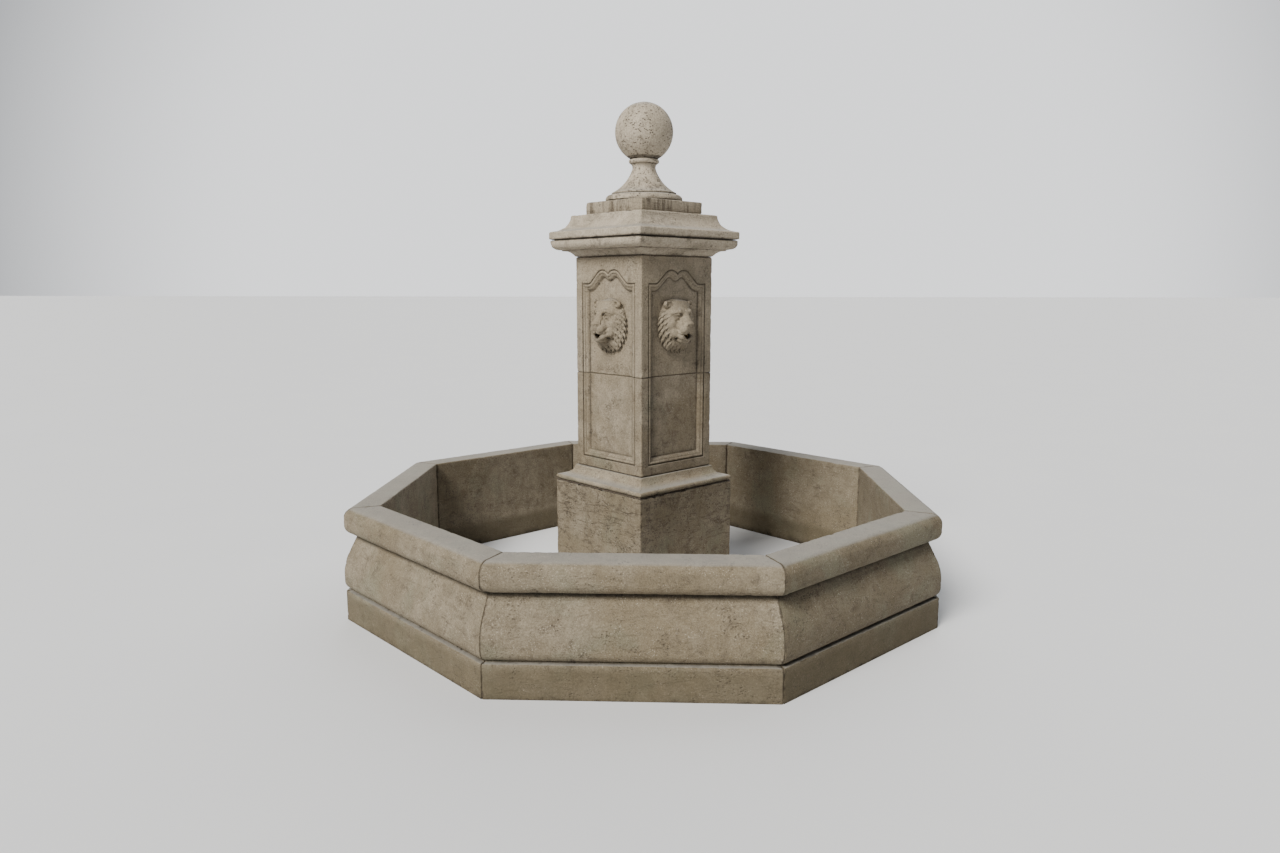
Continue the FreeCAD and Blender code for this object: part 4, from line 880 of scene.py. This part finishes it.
# ---------------------------------------------------------------- node materials
class Nodes:
    """A small helper that adds nodes to a material and links them."""

    def __init__(self, name):
        self.material = bpy.data.materials.new(name)
        self.material.use_nodes = True
        self.tree = self.material.node_tree
        self.shader = self.tree.nodes["Principled BSDF"]

    def add(self, kind, inputs=None, **settings):
        node = self.tree.nodes.new(kind)
        for key, value in settings.items():
            setattr(node, key, value)
        for key, value in (inputs or {}).items():
            self.put(node.inputs[key], value)
        return node

    def put(self, socket, value):
        if isinstance(value, bpy.types.NodeSocket):
            self.tree.links.new(value, socket)
        else:
            socket.default_value = value

    def place(self, shift=(0, 0, 0), scale=(1, 1, 1), turn=(0, 0, 0)):
        """Object coordinates, moved, scaled and turned."""
        coordinates = self.add("ShaderNodeTexCoord").outputs["Object"]
        mapping = self.add("ShaderNodeMapping", {"Vector": coordinates, "Location": shift, "Rotation": turn,
                                                 "Scale": scale})
        return mapping.outputs["Vector"]

    def cloud(self, place, scale, detail=4.0, rough=0.55, warp=0.0):
        node = self.add("ShaderNodeTexNoise", {"Vector": place, "Scale": scale, "Detail": detail,
                                               "Roughness": rough, "Distortion": warp})
        return node.outputs["Fac"]

    def cells(self, place, scale):
        return self.add("ShaderNodeTexVoronoi", {"Vector": place, "Scale": scale}).outputs["Distance"]

    def between(self, value, low, high, to_low=0.0, to_high=1.0):
        node = self.add("ShaderNodeMapRange", {"Value": value, "From Min": low, "From Max": high,
                                               "To Min": to_low, "To Max": to_high},
                        interpolation_type="SMOOTHSTEP")
        return node.outputs["Result"]

    def math(self, operation, a, b):
        return self.add("ShaderNodeMath", {0: a, 1: b}, operation=operation).outputs[0]

    def times(self, a, b):
        return self.math("MULTIPLY", a, b)

    def mix(self, share, a, b, blend="MIX"):
        """A blend of two colours. A colour mix node has its factor at 0 and its colours at 6 and 7."""
        inputs = {0: share, 6: a, 7: b}
        return self.add("ShaderNodeMix", inputs, data_type="RGBA", blend_type=blend).outputs[2]

    def stain(self, colour, tone, share, strength=1.0, blend="MIX"):
        """A colour with a tone laid over it, as much as share times strength."""
        return self.mix(self.times(share, strength), colour, tone, blend)

    def attribute(self, name):
        return self.add("ShaderNodeAttribute", attribute_name=name).outputs["Fac"]

    def upright(self, vector):
        """The upright part of a vector: a place's height, or how far a normal faces upwards."""
        return self.add("ShaderNodeSeparateXYZ", {"Vector": vector}).outputs["Z"]

    def surface(self, colour, rough, height, strength, distance):
        """Joins up colour, roughness and bump, and hands back the material."""
        bump = self.add("ShaderNodeBump", {"Height": height, "Strength": strength, "Distance": distance})
        values = {"Base Color": colour, "Roughness": rough, "Normal": bump.outputs["Normal"]}
        for socket, value in values.items():
            self.put(self.shader.inputs[socket], value)
        return self.material


def rgb(r, g, b):
    """A colour given in 8-bit display values, as the shader's linear one."""
    linear = []
    for value in (r, g, b):
        v = value / 255
        linear.append(v / 12.92 if v <= 0.04045 else ((v + 0.055) / 1.055) ** 2.4)
    return (*linear, 1.0)


LIGHT_STONE = rgb(150, 139, 119)
MID_STONE = rgb(124, 113, 94)
WARM_STONE = rgb(117, 104, 80)
DARK_STAIN = rgb(66, 54, 40)
# Dark grime colour, also used for painted crevice shade.
CREVICE_GRIME_AND_SHADE = rgb(30, 24, 17)
# Pale grey for up-facing faces: partly weathering, partly a painted sky sheen.
PALE_WEATHER_AND_SKY_SHEEN = rgb(138, 136, 130)
SPECK = rgb(48, 38, 27)
LICHEN = rgb(116, 118, 98)
# Brown stone tone, also used to paint shade on the right-hand wall stones.
BROWN_STONE_AND_SHADE = rgb(86, 77, 56)
PALE_STONE = rgb(206, 194, 174)
CHALK = rgb(178, 168, 150)
GRAIN_TINT = rgb(120, 104, 84)
FINE_GRAIN = rgb(176, 166, 148)
FOOT_STAIN = rgb(78, 70, 52)


def limestone(name, shift, streaks=0.0, brown_and_shade=0.0, pale=0.0, spotted=0.0, drips=0.0):
    """Weathered limestone: mottled beige with stains, streaks, pits, grime and painted shade in the crevices,
    and pale tops that are partly weathering and partly a painted sky sheen.
    """
    m = Nodes(name)
    place = m.place(shift)
    broad = m.cloud(place, 2.6, 5, 0.6, 0.4)
    patch = m.cloud(place, 12.0, 7, 0.66, 0.4)
    grain = m.cloud(place, 150.0, 5, 0.65)
    fine = m.cloud(place, 480.0, 2, 0.5)
    colour = m.mix(m.between(patch, 0.36, 0.64), MID_STONE, LIGHT_STONE)
    colour = m.stain(colour, WARM_STONE, m.between(broad, 0.40, 0.62), 0.7)
    # A brown tone over the whole stone; on the right-hand wall stones its larger share paints shade.
    colour = m.mix(brown_and_shade, colour, BROWN_STONE_AND_SHADE)
    colour = m.mix(pale, colour, PALE_STONE)
    cool = m.between(m.cloud(m.place((shift[1], shift[2], 5)), 3.4, 4, 0.6, 0.5), 0.50, 0.68)
    colour = m.stain(colour, LICHEN, cool, 0.4, "MIX" if pale < 0.1 else "MULTIPLY")
    blotch = m.times(m.between(m.cloud(place, 20.0, 8, 0.74, 0.8), 0.50, 0.66),
                     m.between(m.cloud(place, 4.2, 3, 0.5), 0.42 - 0.10 * spotted, 0.58 - 0.10 * spotted))
    colour = m.stain(colour, DARK_STAIN, blotch, 0.62 + 0.2 * spotted)
    along = m.place((shift[0] + 3, shift[1], shift[2]), (1.0, 1.0, 4.6), (0.12, 0.07, 0))
    vein = m.between(m.cloud(along, 9.0, 8, 0.7, 1.4), 0.53 - 0.03 * streaks, 0.66 - 0.02 * streaks)
    vein = m.times(vein, 0.1 + 0.85 * streaks)
    colour = m.mix(vein, colour, DARK_STAIN)
    run = m.cloud(m.place(shift, (1.0, 1.0, 0.12)), 34.0, 6, 0.7, 0.3)
    run = m.times(m.between(run, 0.52 - 0.06 * drips, 0.66), 0.25 + 0.75 * drips)
    colour = m.stain(colour, DARK_STAIN, run, m.between(patch, 0.35, 0.6, drips, 1.0))
    where = m.between(m.cloud(place, 10.0, 5, 0.65), 0.50 - 0.10 * spotted, 0.62 - 0.08 * spotted)
    spots = m.times(m.between(m.cells(m.place(shift, (1, 1, 1.3)), 70.0), 0.40, 0.14), where)
    colour = m.stain(colour, SPECK, spots, 0.55 + 0.3 * spotted)
    small = m.times(m.between(m.cells(place, 190.0), 0.34, 0.12),
                    m.between(m.cloud(place, 22.0, 3, 0.5), 0.42, 0.58))
    colour = m.stain(colour, SPECK, small, 0.6)
    chalk = m.times(m.between(m.cells(m.place((shift[2], 4, shift[0])), 110.0), 0.32, 0.10),
                    m.between(m.cloud(place, 17.0, 3, 0.5), 0.46, 0.62))
    colour = m.stain(colour, CHALK, chalk, 0.6)
    colour = m.mix(m.between(grain, 0.32, 0.68, 0.0, 0.40), colour, GRAIN_TINT, "MULTIPLY")
    colour = m.mix(m.between(fine, 0.38, 0.68, 0.0, 0.22), colour, FINE_GRAIN)
    foot = m.between(m.upright(m.place()), 0.15, 0.10, 0.0, 0.7)
    colour = m.stain(colour, FOOT_STAIN, foot, m.between(patch, 0.3, 0.6, 0.55, 1.0))
    up = m.upright(m.add("ShaderNodeNewGeometry").outputs["Normal"])
    # Up-facing faces turn pale grey: partly weathering, partly a painted sheen of sky light.
    colour = m.stain(colour, PALE_WEATHER_AND_SKY_SHEEN, m.between(up, 0.75, 0.98), 0.55)
    # The vertex attribute's grime and painted crevice shade, raised where the patch noise is high, darkens the
    # colour.
    soil_and_shade = m.math("ADD", m.attribute("dirt_and_shade"), m.times(m.math("SUBTRACT", patch, 0.5), 0.9))
    colour = m.stain(colour, CREVICE_GRIME_AND_SHADE, m.between(soil_and_shade, 0.10, 0.95), 0.85)
    m.shader.inputs["Specular IOR Level"].default_value = 0.25
    relief = m.math("ADD", m.times(patch, 0.7), m.times(grain, 0.2))
    for mark, depth in ((spots, 0.34), (small, 0.14), (vein, 0.25)):
        relief = m.math("SUBTRACT", relief, m.times(mark, depth))
    relief = m.math("ADD", relief, m.times(fine, 0.04))
    return m.surface(colour, m.between(grain, 0.25, 0.75, 0.80, 0.94), relief, 0.9, 0.007)


def metal(name, base, dark, light, rough, patina=None, grain_z=1):
    """Metal with uneven tone, fine scratches and, if given, patina in patches. grain_z squeezes the scratches
    along z, as brushing does."""
    m = Nodes(name)
    place = m.place()
    patch = m.cloud(place, 24.0, 5, 0.6, 0.3)
    scratch = m.cloud(m.place((0, 0, 0), (1, 1, grain_z)), 220.0, 3, 0.6)
    colour = m.mix(m.between(patch, 0.35, 0.65), dark, base)
    colour = m.mix(m.between(scratch, 0.5, 0.8, 0.0, 0.5), colour, light)
    if patina:
        colour = m.stain(colour, patina, m.between(m.cloud(place, 36.0, 7, 0.7, 0.8), 0.52, 0.66), 0.8)
    m.shader.inputs["Metallic"].default_value = 1.0
    relief = m.math("ADD", scratch, m.times(patch, 0.6))
    return m.surface(colour, m.between(patch, 0.3, 0.7, rough + 0.12, rough - 0.05), relief, 0.25, 0.001)


def moulded(name, base, light, rough):
    """Moulded plastic, rubber or ceramic with a fine grain and slight scuffs."""
    m = Nodes(name)
    place = m.place()
    patch = m.cloud(place, 30.0, 5, 0.6)
    colour = m.mix(m.between(patch, 0.45, 0.75, 0.0, 0.6), base, light)
    rough = m.between(patch, 0.3, 0.7, rough, rough + 0.12)
    return m.surface(colour, rough, m.cloud(place, 900.0, 2, 0.5), 0.3, 0.0006)


def mortar():
    """Dark, gritty lime mortar, set back in the joints."""
    m = Nodes("lime_mortar_gritty")
    grit = m.cloud(m.place(), 240.0, 4, 0.65)
    colour = m.mix(m.between(grit, 0.35, 0.65), rgb(58, 48, 38), rgb(112, 98, 80))
    return m.surface(colour, m.between(grit, 0.3, 0.7, 0.88, 0.97), grit, 0.7, 0.002)


def dress_cad_nodes():
    """Gives every CAD node that stays its own finish, by the record's material slot."""
    finishes = {
        "lime_mortar": mortar(),
        "stainless": metal("stainless_brushed", rgb(176, 176, 174), rgb(140, 140, 138), rgb(210, 210, 208),
                           0.34, grain_z=22),
        "lever_steel": moulded("lever_vinyl", rgb(132, 22, 18), rgb(160, 60, 50), 0.42),
        "brass": metal("brass_tarnished", rgb(92, 74, 44), rgb(46, 36, 22), rgb(132, 110, 68), 0.46,
                       patina=rgb(52, 58, 46)),
        "copper": metal("copper_tarnished", rgb(168, 100, 66), rgb(96, 58, 42), rgb(196, 130, 96), 0.36,
                        patina=rgb(70, 60, 50)),
        "bronze": metal("bronze_dark", rgb(86, 68, 48), rgb(46, 38, 30), rgb(128, 104, 74), 0.42,
                        patina=rgb(74, 92, 78)),
        "pump_plastic": moulded("pump_black_plastic", rgb(34, 35, 37), rgb(58, 58, 58), 0.45),
        "impeller_plastic": moulded("impeller_grey_plastic", rgb(146, 148, 146), rgb(170, 170, 166), 0.4),
        "seat_ptfe": moulded("seat_white_plastic", rgb(226, 226, 222), rgb(206, 204, 198), 0.35),
        "magnet": moulded("magnet_ferrite", rgb(62, 62, 66), rgb(84, 84, 88), 0.5),
        "shaft_ceramic": moulded("shaft_pale_ceramic", rgb(232, 230, 222), rgb(214, 210, 200), 0.22),
        "rubber": moulded("foot_rubber", rgb(36, 36, 36), rgb(60, 58, 56), 0.75),
    }
    for entry in frame["record"]["subparts"]:
        node = frame["nodes"][entry["node"]]
        finish = finishes.get(entry["material_slot"])
        if finish is None:
            continue
        for slot in node.material_slots:
            slot.material = finish
        if entry["node"].startswith(("access_door", "pump_", "flow_valve", "spout_")):
            bevel = node.modifiers.new("softened", "BEVEL")
            bevel.width = 0.0006
            bevel.segments = 2
            bevel.limit_method = "ANGLE"
            bevel.angle_limit = math.radians(40)


# ---------------------------------------------------------------- the stones
DOOR_OPENING = (125, 60, 360, 180)      # half width, bottom, top and how near the axis it reaches
DOOR_REBATE = (145, 40, 380)
REBATE_DEPTH = 12


def cut_door_opening(piece):
    """Cuts the opening and the rebate for the access door's frame through the base block."""
    bm = bmesh.new()
    half = extent("base_block")[2]
    for half_u, low_z, high_z, near in (DOOR_OPENING, (*DOOR_REBATE, half - REBATE_DEPTH)):
        far = half + 8
        box = bmesh.ops.create_cube(bm, size=1.0)["verts"]
        size = Vector((2 * half_u * MM, (far - near) * MM, (high_z - low_z) * MM))
        middle = Vector((0, -(near + far) / 2 * MM, (low_z + high_z) / 2 * MM))
        bmesh.ops.transform(bm, verts=box, matrix=Matrix.Translation(middle) @ Matrix.Diagonal((*size, 1)))
    mesh = bpy.data.meshes.new("door_cutter")
    bm.to_mesh(mesh)
    bm.free()
    mesh.transform(Matrix.Rotation(math.radians(DOOR_TURN), 4, "Z"))
    cutter = bpy.data.objects.new("door_cutter", mesh)
    bpy.context.scene.collection.objects.link(cutter)
    tool = piece.modifiers.new("opening", "BOOLEAN")
    tool.object = cutter
    tool.solver = "EXACT"
    tool.use_self = True
    bpy.context.view_layer.update()
    cut = bpy.data.meshes.new_from_object(piece.evaluated_get(bpy.context.evaluated_depsgraph_get()))
    piece.modifiers.remove(tool)
    old, name = piece.data, piece.data.name
    piece.data = cut
    bpy.data.meshes.remove(old)
    cut.name = name
    bpy.data.objects.remove(cutter)
    bpy.data.meshes.remove(mesh)


def build_stones():
    # Each wall stone's brown share; the larger ones on back_right, right and front_right paint shade on the
    # basin's right side.
    wall_tones = [((0, 0, 0), 0.30), ((3, 1, 0), 0.32), ((5, 4, 1), 0.34), ((1, 7, 2), 0.28),
                  ((8, 2, 3), 0.30), ((4, 9, 1), 0.46), ((7, 5, 6), 0.60), ((2, 3, 8), 0.62)]
    for index, (shift, brown_and_shade) in enumerate(wall_tones):
        wall_stone(index, limestone(f"wall_limestone_{index + 1}", shift, streaks=0.3, brown_and_shade=brown_and_shade))
    base = limestone("base_block_limestone", (11, 2, 4), streaks=0.7, brown_and_shade=0.22, spotted=0.7)
    cut_door_opening(square_course("base_block", base_block_outline(), 101, base, True))
    moulding = limestone("moulding_limestone", (4, 12, 7), streaks=0.3, pale=0.05)
    square_course("base_moulding", base_moulding_outline(), 111, moulding, True, per_side=80)
    shaft_block("shaft_lower", 121, limestone("shaft_lower_limestone", (9, 9, 2), streaks=0.15, pale=0.03,
                                              drips=0.1))
    shaft_block("shaft_upper", 131, limestone("shaft_upper_limestone", (9, 3, 6), streaks=0.15, pale=0.14,
                                              drips=0.1))
    cap = limestone("cap_limestone", (6, 14, 9), streaks=0.25, pale=0.50)
    square_course("capital", capital_outline(), 141, cap, False, per_side=84)
    square_course("cap_slab", cap_slab_outline(), 151, cap, False, per_side=84)
    step = limestone("step_limestone", (13, 6, 5), streaks=0.3, pale=0.25, drips=0.9)
    square_course("cap_step", cap_step_outline(), 161, step, False)
    finial = limestone("finial_limestone", (2, 15, 12), pale=0.58, spotted=1.0)
    lathe("finial_pedestal", finial_pedestal_outline(), 171, finial)
    lathe("finial_ball", finial_ball_outline(), 181, finial, amount=0.6)
    lion_masks(limestone("mask_limestone_carved", (5, 5, 15), streaks=0.05, pale=0.10))


# ---------------------------------------------------------------- surroundings
def add_floor():
    bm = bmesh.new()
    bmesh.ops.create_grid(bm, x_segments=8, y_segments=8, size=150)
    mesh = bpy.data.meshes.new("floor")
    bm.to_mesh(mesh)
    bm.free()
    floor = bpy.data.objects.new("floor", mesh)
    bpy.context.scene.collection.objects.link(floor)
    m = Nodes("floor_pale")
    soft = m.cloud(m.place(), 1.2, 3, 0.5)
    m.put(m.shader.inputs["Base Color"], m.mix(soft, (0.62, 0.62, 0.62, 1), (0.65, 0.65, 0.64, 1)))
    m.shader.inputs["Roughness"].default_value = 0.9
    mesh.materials.append(m.material)


def add_light(name, around, up, strength, spread_degrees, colour):
    """A distant, soft light from a compass direction and a height, both in degrees."""
    data = bpy.data.lights.new(name, "SUN")
    data.energy = strength
    data.angle = math.radians(spread_degrees)
    data.color = colour
    light = bpy.data.objects.new(name, data)
    around, up = math.radians(around), math.radians(up)
    away = Vector((math.cos(around) * math.cos(up), math.sin(around) * math.cos(up), math.sin(up)))
    light.rotation_euler = away.to_track_quat("Z", "Y").to_euler()
    bpy.context.scene.collection.objects.link(light)


def add_surroundings():
    """A broad, soft light from the front left, a weak one from behind, a dim sky and a pale one behind."""
    add_floor()
    add_light("key", -125, 42, 6.0, 26, (1.0, 0.98, 0.95))
    add_light("back_fill", 72, 42, 1.7, 70, (0.94, 0.97, 1.0))
    world = bpy.data.worlds.new("soft_studio")
    world.use_nodes = True
    nodes, links = world.node_tree.nodes, world.node_tree.links
    way = nodes.new("ShaderNodeSeparateXYZ")
    links.new(nodes.new("ShaderNodeTexCoord").outputs["Generated"], way.inputs[0])
    share = nodes.new("ShaderNodeMapRange")
    share.interpolation_type = "SMOOTHSTEP"
    share.inputs["From Min"].default_value = 0.70
    share.inputs["From Max"].default_value = 0.92
    links.new(way.outputs["Y"], share.inputs["Value"])
    tint = nodes.new("ShaderNodeMix")
    tint.data_type = "RGBA"
    tint.inputs[6].default_value = (0.17, 0.18, 0.20, 1)
    tint.inputs[7].default_value = (1.45, 1.47, 1.5, 1)
    links.new(share.outputs["Result"], tint.inputs[0])
    links.new(tint.outputs[2], nodes["Background"].inputs["Color"])
    bpy.context.scene.world = world


def add_camera():
    data = bpy.data.cameras.new("camera")
    data.sensor_width = 36
    data.lens = 25.22
    camera = bpy.data.objects.new("camera", data)
    camera.location = (0.139, -4.4266, 1.5)
    camera.rotation_euler = (math.radians(90 - 8.79), math.radians(-0.06), math.radians(2.04))
    bpy.context.scene.collection.objects.link(camera)
    bpy.context.scene.camera = camera


add_camera()
add_surroundings()
build_stones()
dress_cad_nodes()
